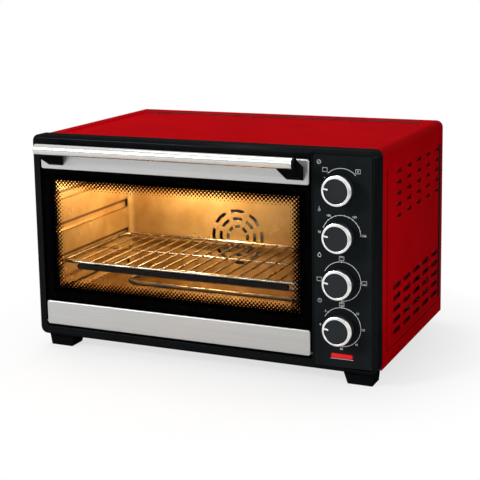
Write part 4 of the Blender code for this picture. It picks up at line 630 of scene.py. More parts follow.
def new_object(name: str, bm: Mesh, outwards: bool = True) -> Object:
    """Turn a mesh in the making into an object of the scene.

    Args:
        name: the object's name.
        bm: the mesh, which this uses up.
        outwards: whether its faces are turned outwards first.

    Returns:
        The new object.
    """
    if outwards:
        bmesh.ops.recalc_face_normals(bm, faces=bm.faces)
    mesh = bpy.data.meshes.new(name)
    bm.to_mesh(mesh)
    bm.free()
    return linked(name, mesh)


def shaped(name: str, rings: Sequence[Sequence[Vector]], looped: bool = False) -> Object:
    """Return a new object covered over a row of rings."""
    bm = bmesh.new()
    skin(bm, rings, looped)
    return new_object(name, bm)


def solid(name: str, axis: Axis, outline: Outline, start: float, end: float) -> Object:
    """Return a new object from an outline pushed along an axis."""
    return shaped(name, [[place(axis, u, v, along) for u, v in outline] for along in (start, end)])


def baked(made: Object) -> bpy.types.Mesh:
    """Return the plain mesh that an object's modifiers give it, and remove them."""
    graph = bpy.context.evaluated_depsgraph_get()
    plain = bpy.data.meshes.new_from_object(made.evaluated_get(graph), depsgraph=graph)
    made.modifiers.clear()
    return plain


def settle(made: Object, smooth_angle: float = 40.0) -> Object:
    """Apply an object's modifiers, shade it smooth but for its sharp edges, and keep its flats flat.

    Args:
        made: the object, at the origin.
        smooth_angle: the angle in degrees past which an edge stays sharp.

    Returns:
        The same object with a plain mesh.
    """
    made.data = baked(made)
    made.data.shade_smooth()
    made.data.set_sharp_from_angle(angle=math.radians(smooth_angle))
    made.modifiers.new("Flats", "WEIGHTED_NORMAL").keep_sharp = True
    made.data = baked(made)
    return made


def turned(
    name: str, axis: Axis, centre: Pair, profile: Sequence[Pair], sides: int = 96, looped: bool = True
) -> Object:
    """Turn a profile round an axis, with a UV map that holds the share round it and the length along it.

    Args:
        name: the object's name.
        axis: the axis that the piece is turned on.
        centre: the axis's place in the plane square to it.
        profile: pairs of a place along the axis and a radius.
        sides: how many faces go round.
        looped: whether the profile closes on itself; otherwise its ends lie on the axis.

    Returns:
        The new object.
    """
    bm = bmesh.new()
    unrolled = bm.loops.layers.uv.new("unrolled")
    runs = [0.0]
    for (a0, r0), (a1, r1) in zip(profile, [*profile[1:], profile[0]]):
        runs.append(runs[-1] + math.hypot(a1 - a0, r1 - r0))
    rows = []
    for along, radius in profile:
        if radius < WELD:
            rows.append([bm.verts.new(place(axis, *centre, along))] * sides)
        else:
            rows.append([bm.verts.new(place(axis, u, v, along)) for u, v in circle(*centre, radius, sides)])
    for step in range(len(rows) if looped else len(rows) - 1):
        near, far = rows[step], rows[(step + 1) % len(rows)]
        for side in range(sides):
            after = (side + 1) % sides
            spots: dict[Vert, Pair] = {}
            for vert, across, along in (
                (near[side], side, step), (near[after], side + 1, step), (far[after], side + 1, step + 1),
                (far[side], side, step + 1),
            ):
                spots.setdefault(vert, (across / sides, runs[along]))
            for loop in bm.faces.new(list(spots)).loops:
                loop[unrolled].uv = spots[loop.vert]
    return new_object(name, bm)


def joined(name: str, pieces: Sequence[Object]) -> Object:
    """Put several plain objects into one mesh, under a new name.

    Args:
        name: the new object's name.
        pieces: the objects, which this uses up.

    Returns:
        The new object.
    """
    bm = bmesh.new()
    for piece in pieces:
        bm.from_mesh(piece.data)
        bpy.data.objects.remove(piece)
    return new_object(name, bm, outwards=False)


def pierce(made: Object, tools: Sequence[Object]) -> Object:
    """Cut holes into a piece and settle it.

    Args:
        made: the piece.
        tools: solids of the holes' shapes, which this uses up.

    Returns:
        The piece.
    """
    tool = joined("tools", tools)
    made.modifiers.new("Holes", "BOOLEAN").object = tool
    settle(made)
    bpy.data.objects.remove(tool)
    return made


# Patterns made by Geometry Nodes


class Pattern:
    """A Geometry Nodes tree with named inputs, run once and kept as a plain mesh."""

    KINDS = {float: "Float", int: "Int", Vector: "Vector", Object: "Object"}

    def __init__(self, name: str, inputs: dict[str, type]) -> None:
        """Start the tree with its named inputs, and one for the finish.

        Args:
            name: the tree's name.
            inputs: each input's name and type.
        """
        self.tree = bpy.data.node_groups.new(name, "GeometryNodeTree")
        sockets = [("INPUT", label, self.KINDS[kind]) for label, kind in inputs.items()]
        for way, label, kind in [*sockets, ("INPUT", "Finish", "Material"), ("OUTPUT", "Geometry", "Geometry")]:
            self.tree.interface.new_socket(label, in_out=way, socket_type=f"NodeSocket{kind}")
        self.given = add_node(self.tree, "NodeGroupInput").outputs

    def close(self, geometry: Socket) -> None:
        """End the tree: real geometry with its finish."""
        real = add_node(self.tree, "GeometryNodeRealizeInstances", {"Geometry": geometry}).outputs["Geometry"]
        dressing = {"Geometry": real, "Material": self.given["Finish"]}
        dressed = add_node(self.tree, "GeometryNodeSetMaterial", dressing)
        add_node(self.tree, "NodeGroupOutput", {"Geometry": dressed.outputs["Geometry"]})

    def set_out(self, points: Socket, **turning: Socket) -> None:
        """Put the input named Piece on points, and end the tree.

        Args:
            points: the points' geometry.
            turning: the copies' rotation, where they have one.
        """
        piece = add_node(self.tree, "GeometryNodeObjectInfo", {"Object": self.given["Piece"]})
        inputs = {"Points": points, "Instance": piece.outputs["Geometry"], **turning}
        self.close(add_node(self.tree, "GeometryNodeInstanceOnPoints", inputs).outputs["Instances"])

    def make(self, name: str, finish: Finish, **values: object) -> Object:
        """Run the tree on a new object, and remove the helper objects that it was given.

        Args:
            name: the new object's name.
            finish: the finish that the tree sets.
            values: the named inputs, with spaces written as underscores.

        Returns:
            The object, at the origin, with a plain mesh and no modifiers.
        """
        made = linked(name, bpy.data.meshes.new(name))
        modifier = made.modifiers.new(self.tree.name, "NODES")
        modifier.node_group = self.tree
        chosen = {label.replace("_", " "): value for label, value in values.items()}
        chosen["Finish"] = finish.material()
        for item in self.tree.interface.items_tree:
            if item.name in chosen:
                modifier[item.identifier] = chosen[item.name]
        made.data = baked(made)
        for value in values.values():
            if isinstance(value, Object):
                bpy.data.objects.remove(value)
        return made


class GridPattern(Pattern):
    """Copies of a piece in columns and rows."""

    def __init__(self) -> None:
        """Build the tree: a line of columns, each with a line of rows, each place with the piece."""
        steps = {"Start": Vector, "Column Step": Vector, "Row Step": Vector}
        super().__init__("copies_in_a_grid", {"Piece": Object, "Columns": int, "Rows": int, **steps})
        given = self.given
        across = {"Count": given["Columns"], "Start Location": given["Start"], "Offset": given["Column Step"]}
        up = {"Count": given["Rows"], "Offset": given["Row Step"]}
        columns, rows = (
            add_node(self.tree, "GeometryNodeMeshLine", values, mode="OFFSET").outputs["Mesh"]
            for values in (across, up)
        )
        crossed = add_node(self.tree, "GeometryNodeInstanceOnPoints", {"Points": columns, "Instance": rows})
        places = add_node(self.tree, "GeometryNodeRealizeInstances", {"Geometry": crossed.outputs["Instances"]})
        self.set_out(places.outputs["Geometry"])


class PlacesPattern(Pattern):
    """Copies of a piece at the points of another object."""

    def __init__(self) -> None:
        """Build the tree."""
        super().__init__("copies_at_places", {"Piece": Object, "Places": Object})
        places = add_node(self.tree, "GeometryNodeObjectInfo", {"Object": self.given["Places"]})
        self.set_out(places.outputs["Geometry"])


class DialPattern(Pattern):
    """Copies of a piece turned in even steps about an axis that runs to the back."""

    def __init__(self) -> None:
        """Build the tree: points that all lie on the axis, each copy turned by its number of steps."""
        angles = {"First Angle": float, "Step Angle": float}
        super().__init__("copies_round_a_dial", {"Piece": Object, "Count": int, "Centre": Vector, **angles})
        given = self.given
        spots = {"Count": given["Count"], "Start Location": given["Centre"], "Offset": (0.0, 0.0, 0.0)}
        line = add_node(self.tree, "GeometryNodeMeshLine", spots, mode="OFFSET")
        index = add_node(self.tree, "GeometryNodeInputIndex").outputs["Index"]
        stepped = {0: index, 1: given["Step Angle"], 2: given["First Angle"]}
        angle = add_node(self.tree, "ShaderNodeMath", stepped, operation="MULTIPLY_ADD").outputs[0]
        turn = add_node(self.tree, "ShaderNodeCombineXYZ", {"Y": angle}).outputs["Vector"]
        rotation = add_node(self.tree, "FunctionNodeEulerToRotation", {"Euler": turn}).outputs["Rotation"]
        self.set_out(line.outputs["Mesh"], Rotation=rotation)


class TubePattern(Pattern):
    """A round tube along the edges of another object, with capped ends."""

    def __init__(self) -> None:
        """Build the tree: the path's edges as a curve, swept by a circle."""
        super().__init__("tube_along_a_path", {"Path": Object, "Radius": float, "Sides": int})
        path = add_node(self.tree, "GeometryNodeObjectInfo", {"Object": self.given["Path"]})
        curve = add_node(self.tree, "GeometryNodeMeshToCurve", {"Mesh": path.outputs["Geometry"]})
        size = {"Resolution": self.given["Sides"], "Radius": self.given["Radius"]}
        section = add_node(self.tree, "GeometryNodeCurvePrimitiveCircle", size).outputs["Curve"]
        swept = {"Curve": curve.outputs["Curve"], "Profile Curve": section, "Fill Caps": True}
        self.close(add_node(self.tree, "GeometryNodeCurveToMesh", swept).outputs["Mesh"])


class Patterns:
    """The four patterns, built once."""

    def __init__(self) -> None:
        """Build each tree."""
        self.grid = GridPattern()
        self.places = PlacesPattern()
        self.dial = DialPattern()
        self.tube = TubePattern()


def path_object(points: Sequence[Sequence[float]], looped: bool = False, joined_up: bool = True) -> Object:
    """Return an object that holds a line of points, for a pattern to follow.

    Args:
        points: the places.
        looped: whether the last joins the first.
        joined_up: whether edges join them at all.

    Returns:
        The object.
    """
    mesh = bpy.data.meshes.new("path")
    edges = [(index, index + 1) for index in range(len(points) - 1)] if joined_up else []
    if looped:
        edges.append((len(points) - 1, 0))
    mesh.from_pydata([tuple(point) for point in points], edges, [])
    return linked("path", mesh)


# Handing pieces over


def hand_over(
    made: Object, slot: str, *nodes: str, body: Body = Body.OVEN, finish: Finish | None = None
) -> None:
    """Dress a finished piece, let it ride, and say what it stands for.

    Args:
        made: the finished object, at the origin.
        slot: the record's material slot.
        nodes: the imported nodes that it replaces.
        body: the body that it rides on.
        finish: its finish, if not the slot's own.
    """
    made.data.materials.clear()
    made.data.materials.append((finish or getattr(Stock, slot)).material())
    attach(made, body.value)
    if nodes:
        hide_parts(*nodes)
    LOG.info("%s rides on %s, %d faces", made.name, body.value, len(made.data.polygons))


def carry(slot: str, *nodes: str) -> None:
    """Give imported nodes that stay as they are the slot's own finish.

    Args:
        slot: the record's material slot.
        nodes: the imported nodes.
    """
    material = getattr(Stock, slot).material()
    for node in nodes:
        kept = frame["nodes"][node]
        if not kept.material_slots:
            kept.data.materials.append(material)
        for held in kept.material_slots:
            held.material = material
        LOG.info("%s keeps its solid", node)


def refine(
    slot: str, width: float, *nodes: str, body: Body = Body.OVEN, sharp: float = 25.0, segments: int = 2
) -> None:
    """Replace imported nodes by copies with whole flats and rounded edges.

    Args:
        slot: the record's material slot.
        width: how far from an edge its rounding starts.
        nodes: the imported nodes.
        body: the body that they ride on.
        sharp: the angle in degrees from which an edge is rounded.
        segments: how many faces make the rounding.
    """
    for node in nodes:
        bm = bmesh.new()
        bm.from_mesh(frame["nodes"][node].data)
        bmesh.ops.remove_doubles(bm, verts=bm.verts, dist=WELD)
        bmesh.ops.dissolve_limit(bm, angle_limit=math.radians(1), verts=bm.verts, edges=bm.edges)
        edges = [edge for edge in bm.edges if edge.is_manifold and edge.calc_face_angle() > math.radians(sharp)]
        bmesh.ops.bevel(
            bm, geom=edges, offset=width, segments=segments, profile=0.5, affect="EDGES", clamp_overlap=False
        )
        hand_over(settle(new_object(f"{node}_finished", bm)), slot, node, body=body)


def middle_of(node: str) -> Vector:
    """Return the middle of a node's box."""
    low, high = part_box(node)
    return (low + high) / 2


def centre_of(node: str) -> Pair:
    """Return where the middle of a node lies as seen from the front, across and up."""
    middle = middle_of(node)
    return middle.x, middle.z


# The oven's sub-assemblies


@dataclass(frozen=True)
class Margins:
    """The flat border round a pressed field, at the sheet's front, back, low and high edges."""

    front: float
    back: float
    low: float
    high: float


@dataclass(frozen=True)
class Louvre:
    """One kind of opening: its outline with the rear end at zero, and where its rows lie."""

    label: str
    outline: Outline
    length: float
    nose: float
    first: float
    pitch: float


def eased(share: float) -> float:
    """Return a share from 0 to 1 with a soft start and a soft end."""
    return share * share * (3 - 2 * share)


@dataclass
class OuterShell:
    """The enamelled sheet bent over the top and both sides, with its pressed fields and louvres."""

    patterns: Patterns
    sheet: float = 0.8 * MM
    corner: float = 10 * MM
    bend_steps: int = 8
    rear_flange: float = 12 * MM
    side_margins: Margins = Margins(24.7 * MM, 10 * MM, 20 * MM, 20.5 * MM)
    side_depth: float = 2.5 * MM
    top_margins: Margins = Margins(22 * MM, 27 * MM, 13.5 * MM, 13.5 * MM)
    top_depth: float = 1.5 * MM
    slope: float = 2.5 * MM
    press_corner: float = 4 * MM
    press_steps: int = 8
    fold_shade_skin: float = 0.15 * MM
    line_shares: tuple[float, ...] = (0.15, 0.35, 0.55, 0.75, 0.95)
    band: float = 3.5 * MM
    low_band: float = 1.4 * MM
    columns: int = 5
    rows: int = 5
    louvre_start: float = 58.7 * MM
    louvre_end: float = 13.8 * MM
    bridge: float = 12.3 * MM
    slot_height: float = 7 * MM
    slot_pitch: float = 15.8 * MM
    slot_first: float = 34 * MM
    scoop_length: float = 22 * MM
    scoop_pitch: float = 15.4 * MM
    scoop_drop: float = 40.4 * MM
    scoop_nose: float = 0.1
    scoop_heel: float = 0.7
    scoop_chamfer: float = 0.6 * MM
    louvre_depth: float = 5 * MM
    tongue_sheet: float = 0.4 * MM
    tongue_share: float = 0.8
    tongue_lip: float = 0.24 * MM
    tongue_start: float = 0.48 * MM
    tongue_fall: float = 0.8
    tongue_steps: int = 6
    tongue_fit: float = 0.1 * MM
    screw_hole: float = 2 * MM
    hole_sides: int = 16

    def __post_init__(self) -> None:
        """Take the shell's place from its node."""
        low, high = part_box("outer_shell")
        self.half, self.back, self.top = high
        self.front, self.bottom = low.y, low.z
        span = self.back - self.louvre_end - self.front - self.louvre_start
        self.pitch = (span + self.bridge) / self.columns
        self.slot_length = self.pitch - self.bridge
        self.face = self.half - self.side_depth
        self.side_field = (
            self.front + self.side_margins.front, self.back - self.side_margins.back,
            self.bottom + self.side_margins.low, self.top - self.corner - self.side_margins.high,
        )
        flat = self.half - self.corner
        self.top_field = (
            self.front + self.top_margins.front, self.back - self.top_margins.back,
            self.top_margins.low - flat, flat - self.top_margins.high,
        )

    def press(self, bm: Mesh, border: Sequence[Vector], field: Sequence[float], axis: Vector, depth: float) -> None:
        """Add a flat face with a shallow field pressed into it, its slope rounded top and bottom.

        Args:
            bm: the mesh that gets the faces.
            border: the face's four corners.
            field: the field's least and greatest Y, and its extent the other way.
            axis: which way the face looks, with the face's place along it as its length.
            depth: how deep the field is pressed.
        """
        upright = bool(axis.x)
        rim = [bm.verts.new(point) for point in border]
        loops = []
        for step in range(self.press_steps + 1):
            share = step / self.press_steps
            inset = self.slope * share
            level = axis - axis.normalized() * depth * eased(share)
            y0, y1, b0, b1 = field
            outline = rounded(y0 + inset, y1 - inset, b0 + inset, b1 - inset, self.press_corner - inset)
            loops.append([bm.verts.new((level.x, y, b) if upright else (b, y, level.z)) for y, b in outline])
        edges = []
        for loop in (rim, loops[0]):
            edges += [bm.edges.new(ends) for ends in zip(loop, [*loop[1:], loop[0]])]
        bmesh.ops.triangle_fill(bm, use_beauty=True, use_dissolve=False, edges=edges)
        for outer, inner in zip(loops, loops[1:]):
            bridge(bm, outer, inner)
        bm.faces.new(loops[-1])

    def bend(self, bm: Mesh, side: int) -> tuple[Vert, Vert]:
        """Add the round top edge of one side and its share of the rear flange.

        Args:
            bm: the mesh that gets the faces.
            side: 1 for the right side and -1 for the left.

        Returns:
            The flange's inner corner and the bend's last point at the back.
        """
        inner = self.half - self.rear_flange
        corner = bm.verts.new((side * inner, self.back, self.top - self.rear_flange))
        rows = []
        for across, up in sweep(0.0, QUARTER, self.bend_steps):
            x = side * (self.half - self.corner + self.corner * across)
            z = self.top - self.corner + self.corner * up
            rows.append([bm.verts.new((x, y, z)) for y in (self.front, self.back)])
        for low, high in zip(rows, rows[1:]):
            bm.faces.new((low[0], low[1], high[1], high[0]))
            bm.faces.new((low[1], high[1], corner))
        foot = [bm.verts.new((side * x, self.back, self.bottom)) for x in (self.half, inner)]
        bm.faces.new((*foot, corner, rows[0][1]))
        return corner, rows[-1][1]

    def skin_sheet(self) -> Object:
        """Return the bent and pressed sheet at its full thickness, without holes."""
        bm = bmesh.new()
        ends = []
        edges = (self.front, self.back)
        for side in SIDES:
            x, low, high = side * self.half, self.bottom, self.top - self.corner
            border = [Vector((x, y, z)) for y, z in zip((*edges, *edges[::-1]), (low, low, high, high))]
            self.press(bm, border, self.side_field, Vector((x, 0.0, 0.0)), self.side_depth)
            ends.append(self.bend(bm, side))
        flat = self.half - self.corner
        border = [Vector((x, y, self.top)) for y, x in zip((*edges, *edges[::-1]), (-flat, -flat, flat, flat))]
        self.press(bm, border, self.top_field, Vector((0.0, 0.0, self.top)), self.top_depth)
        bm.faces.new((ends[0][0], ends[1][0], ends[1][1], ends[0][1]))
        bmesh.ops.remove_doubles(bm, verts=bm.verts, dist=WELD)
        shell = new_object("outer_shell_finished", bm)
        wall = shell.modifiers.new("Sheet", "SOLIDIFY")
        wall.thickness = self.sheet
        wall.offset = -1
        return shell

    def louvres(self) -> list[Louvre]:
        """Return both kinds of opening: long slots with round ends, and three-cornered scoops."""
        half = self.slot_height / 2
        slot = rounded(-self.slot_length, 0.0, -half, half, half * ROUND_END, steps=5)
        nose, heel = self.scoop_nose * half, self.scoop_heel * half
        scoop = [
            (-self.scoop_length, nose), (-self.scoop_length, -nose), (-self.scoop_chamfer, -half), (0.0, -heel),
            (0.0, heel), (-self.scoop_chamfer, half),
        ]
        lowest = self.top - self.scoop_drop - (self.rows - 1) * self.scoop_pitch
        return [
            Louvre("slot", slot, self.slot_length, 1.0, self.bottom + self.slot_first, self.slot_pitch),
            Louvre("scoop", scoop, self.scoop_length, self.scoop_nose, lowest, self.scoop_pitch),
        ]

    def tongue(self, side: int, kind: Louvre) -> Object:
        """Return the pressed-in tongue behind one opening, which falls away towards the rear.

        Args:
            side: 1 for the right side and -1 for the left.
            kind: the kind of opening.

        Returns:
            The tongue, with the opening's rear end at the origin's Y and Z.
        """
        lip = self.tongue_lip
        rings = []
        for step in range(self.tongue_steps + 1):
            share = self.tongue_share * step / self.tongue_steps
            # The tongue starts just under the sheet's face and falls fastest at first.
            sink = self.tongue_start + self.louvre_depth * share**self.tongue_fall
            half = self.slot_height / 2 * (kind.nose + (1 - kind.nose) * share) + self.tongue_fit
            line = bent_sheet([(half, -lip), (half, -sink), (-half, -sink), (-half, -lip)], self.tongue_sheet)
            rings.append([Vector((side * (self.face + x), kind.length * (share - 1), z)) for z, x in line])
        return shaped("tongue", rings)

    def repeat(self, name: str, piece: Object, kind: Louvre, finish: Finish) -> Object:
        """Repeat a piece at every place of one block of openings, and remove the piece."""
        return self.patterns.grid.make(
            name, finish, Piece=piece, Columns=self.columns, Rows=self.rows,
            Start=(0.0, self.front + self.louvre_start + self.slot_length, kind.first),
            Column_Step=(0.0, self.pitch, 0.0), Row_Step=(0.0, 0.0, kind.pitch),
        )

    def fold_shadow_strip(self, depth: float, rear: float) -> Outline:
        """Outline a thin painted-shadow strip on a field's rear slope.

        Args:
            depth: how deep the field is pressed.
            rear: the field's rear edge.

        Returns:
            Pairs of a height over the sheet's face and a place in Y.
        """
        slope = [(-depth * eased(share), rear - self.slope * share) for share in self.line_shares]
        over = [(sink + self.fold_shade_skin, y - self.fold_shade_skin) for sink, y in slope]
        return over + [(sink - self.fold_shade_skin, y + self.fold_shade_skin) for sink, y in reversed(slope)]

    def painted_fold_shadows(self) -> Object:
        """Return painted shadows: thin dark strips on the rear slope of each pressed field, where the step lies in
        shade.
        """
        bm = bmesh.new()
        _, rear, low, high = self.side_field
        for side in SIDES:
            outline = [(side * (self.half + sink), y) for sink, y in self.fold_shadow_strip(self.side_depth, rear)]
            prism(bm, Axis.Z, outline, low + self.press_corner, high - self.press_corner)
        _, rear, left, right = self.top_field
        outline = [(y, self.top + sink) for sink, y in self.fold_shadow_strip(self.top_depth, rear)]
        prism(bm, Axis.X, outline, left + self.press_corner, right - self.press_corner)
        return new_object("shell_fold_lines", bm)

    def fold_bands(self) -> Object:
        """Return painted shade: darker bands along the front and lower folds of each side's pressed field."""
        bm = bmesh.new()
        front, rear, low, high = self.side_field
        upright = [(front - self.band, low), (front, low), (front, high), (front - self.band, high)]
        level = [(front, low - self.low_band), (rear, low - self.low_band), (rear, low), (front, low)]
        for side in SIDES:
            for outline in (upright, level):
                near, far = side * (self.half - self.fold_shade_skin), side * (self.half + self.fold_shade_skin / 2)
                prism(bm, Axis.X, outline, near, far)
        return new_object("fold_bands", bm)

    def build(self) -> None:
        """Make the shell with its holes, the painted shadow lines and painted shade bands at its folds, and its louvre
        tongues.
        """
        shell = self.skin_sheet()
        kinds = [(side, kind) for side in SIDES for kind in self.louvres()]
        tools, tongues = [], []
        for side, kind in kinds:
            punch = solid("punch", Axis.X, kind.outline, side * (self.face - REACH), side * (self.half + REACH))
            tools.append(self.repeat(f"{kind.label}_punches_{side}", punch, kind, Stock.painted_shade_black))
        for x, z in screw_places():
            hole = circle(x, z, self.screw_hole, self.hole_sides)
            tools.append(solid("drill", Axis.Y, hole, self.back - REACH, self.back + REACH))
        hand_over(pierce(shell, tools), "red_enamel", "outer_shell")
        # The tongues take the darker red: painted shade in the pressed-in ramps.
        for side, kind in kinds:
            piece = self.tongue(side, kind)
            tongues.append(self.repeat(f"{kind.label}_tongues_{side}", piece, kind, Stock.painted_shade_enamel))
        tongues.append(self.fold_bands())
        hand_over(settle(joined("shell_louvre_tongues", tongues)), "red_enamel", finish=Stock.painted_shade_enamel)
        hand_over(settle(self.painted_fold_shadows()), "red_enamel", finish=Stock.painted_shade_black)


def screw_places(rows: int = 3, flange: float = 12 * MM) -> list[Pair]:
    """Return where the rear screws go, as places across and up.

    Args:
        rows: how many screws hold each side.
        flange: the width of the flange that they pass through.

    Returns:
        Pairs of X and Z.
    """
    low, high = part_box("outer_shell")
    middle = high.x - flange / 2
    highest = high.z - low.z - flange / 2
    places = []
    for row in range(rows):
        z = low.z + highest * (row + 1) / (rows + 1)
        places += [(-middle, z), (middle, z)]
    return places + [(-middle / 2, low.z + highest), (middle / 2, low.z + highest)]


@dataclass
class Rear:
    """The rear cover's pan, the screws through the shell's flange, and the cord's gland."""

    patterns: Patterns
    sheet: float = 0.8 * MM
    corner: float = 9 * MM
    vent_length: float = 60 * MM
    vent_height: float = 4 * MM
    vent_pitch: float = 12 * MM
    vent_rows: int = 8
    vent_offset: float = 85 * MM
    vent_drop: float = 61.5 * MM
    edge: float = 1 * MM
    edge_break: float = 0.3 * MM
    gland_hole: float = 6.3 * MM
    gland_edge: float = 0.4 * MM
    hole_sides: int = 32
    head: float = 3.8 * MM
    head_height: float = 1.9 * MM
    head_steps: int = 6
    head_sides: int = 24
    cross: float = 0.55 * MM
    cross_arm: float = 0.55
    cross_depths: Pair = (0.5, 1.4)

    def screw(self) -> Object:
        """Return one pan-head screw at the origin, its head to the back, with a crossed recess."""
        arc = sweep(0.0, QUARTER, self.head_steps)[1:-1]
        dome = [(0.0, 0.0), (0.0, self.head)]
        dome += [(self.head_height * up, self.head * across) for across, up in arc]
        dome.append((self.head_height, 0.0))
        head = turned("screw_head", Axis.Y, (0.0, 0.0), dome, self.head_sides, looped=False)
        arm, wide = self.head * self.cross_arm, self.cross
        quarter = [(-arm, -wide), (-wide, -wide), (-wide, -arm)]
        cross = []
        for _ in range(4):
            cross += quarter
            quarter = [(-v, u) for u, v in quarter]
        bottom, top = (self.head_height * share for share in self.cross_depths)
        driver = solid("driver", Axis.Y, cross, bottom, top)
        return pierce(head, [driver])

    def cover(self) -> None:
        """Make the pan, with round-ended vents and a hole for the gland."""
        low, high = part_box("rear_cover")
        sections = [
            (self.sheet, high.y - self.sheet), (self.sheet, low.y), (0.0, low.y), (0.0, high.y - self.edge),
            (self.edge_break, high.y - self.edge_break), (self.edge, high.y),
        ]
        cover = shaped("rear_cover_finished", banded(low, high, self.corner, sections))
        radius = self.vent_height / 2
        outline = rounded(-self.vent_length / 2, self.vent_length / 2, -radius, radius, radius * ROUND_END)
        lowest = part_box("outer_shell")[1].z - self.vent_drop - (self.vent_rows - 1) * self.vent_pitch
        depths = (high.y - REACH, high.y + REACH)
        vents = self.patterns.grid.make(
            "vent_punches", Stock.painted_shade_black, Piece=solid("punch", Axis.Y, outline, *depths), Columns=2,
            Rows=self.vent_rows, Start=(-self.vent_offset, 0.0, lowest),
            Column_Step=(2 * self.vent_offset, 0.0, 0.0), Row_Step=(0.0, 0.0, self.vent_pitch),
        )
        hole = solid("drill", Axis.Y, circle(*centre_of("cord_gland"), self.gland_hole, self.hole_sides), *depths)
        hand_over(pierce(cover, [vents, hole]), "galvanised_steel", "rear_cover")

    def build(self) -> None:
        """Make the cover, the screws and the gland."""
        self.cover()
        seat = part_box("outer_shell")[1].y
        spots = path_object([(x, seat, z) for x, z in screw_places()], joined_up=False)
        screws = self.patterns.places.make("rear_screws", Stock.zinc_steel, Piece=self.screw(), Places=spots)
        hand_over(settle(screws), "zinc_steel")
        refine("black_plastic", self.gland_edge, "cord_gland")


@dataclass
class FrontFrame:
    """The moulded bezel, the feet, the flat control panel and the indicator's lens."""

    edge: float = 0.5 * MM
    panel_edge: float = 0.3 * MM
    foot_edge: float = 0.8 * MM
    lens_flange: float = 2 * MM
    lens_corner: float = 2.2 * MM
    least_corner: float = 0.6 * MM
    flange_thickness: float = 1.5 * MM
    dome: tuple[Pair, ...] = ((1.4 * MM, 0.0), (0.6 * MM, 0.12 * MM), (0.2 * MM, 0.4 * MM), (0.0, 0.9 * MM))

    def lens(self) -> None:
        """Make the indicator's lens: a bar with round corners and a domed face, its flange behind the panel."""
        low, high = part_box("indicator_lens")
        bar, behind = self.lens_flange, high.y - self.flange_thickness
        dome = [(bar + inset, low.y + depth) for inset, depth in self.dome]
        sections = [*dome, (bar, behind), (0.0, behind), (0.0, high.y)]
        rings = banded(low, high, bar + self.lens_corner, sections, self.least_corner)
        hand_over(settle(shaped("indicator_lens_finished", rings), smooth_angle=60.0), "lens_red", "indicator_lens")

    def build(self) -> None:
        """Round the bezel, the panel and the feet."""
        refine("black_plastic", self.edge, "front_frame", segments=3)
        refine("panel_black", self.panel_edge, "control_panel")
        feet = [f"foot_{end}_{side}" for end in ("front", "rear") for side in ("left", "right")]
        refine("foot_rubber", self.foot_edge, *feet, sharp=40.0, segments=3)
        self.lens()
        carry("clear_glass", "indicator_lamp")
        carry("galvanised_steel", "base_plate")


@dataclass
class Trim:
    """One folded metal trim of the door: a shallow tray over the glass's edge, and a return behind it."""

    node: str
    wraps_top: bool
    sheet: float = 0.8 * MM
    fold: float = 1.4 * MM
    fold_steps: int = 4
    hem: float = 0.5 * MM
    corner: float = 3.0 * MM
    least_corner: float = 0.2 * MM
    tray: float = 2.2 * MM
    overlap: float = 0.2 * MM
    back_height: float = 12 * MM

    def build(self) -> None:
        """Make the tray and the return, in one mesh."""
        low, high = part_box(self.node)
        bend = sweep(0.0, QUARTER, self.fold_steps)
        curl = [(self.fold * (1 - out), low.y + self.fold * (1 - up)) for out, up in bend]
        inner = [
            (self.sheet, low.y + self.tray), (self.sheet, low.y + self.sheet + self.hem),
            (self.sheet + self.hem, low.y + self.sheet),
        ]
        bm = bmesh.new()
        sections = [*curl[::-1], (0.0, low.y + self.tray), *inner]
        skin(bm, banded(low, high, self.corner, sections, self.least_corner))
        start = low.y + self.tray - self.overlap
        if self.wraps_top:
            line = [(high.y, high.z - self.back_height), (high.y, high.z), (start, high.z)]
        else:
            line = [(start, low.z), (high.y, low.z), (high.y, high.z)]
        prism(bm, Axis.X, bent_sheet(line, self.sheet), low.x + self.corner, high.x - self.corner)
        made = new_object(f"{self.node}_finished", bm)
        hand_over(settle(made), "brushed_trim", self.node, body=Body.DOOR)


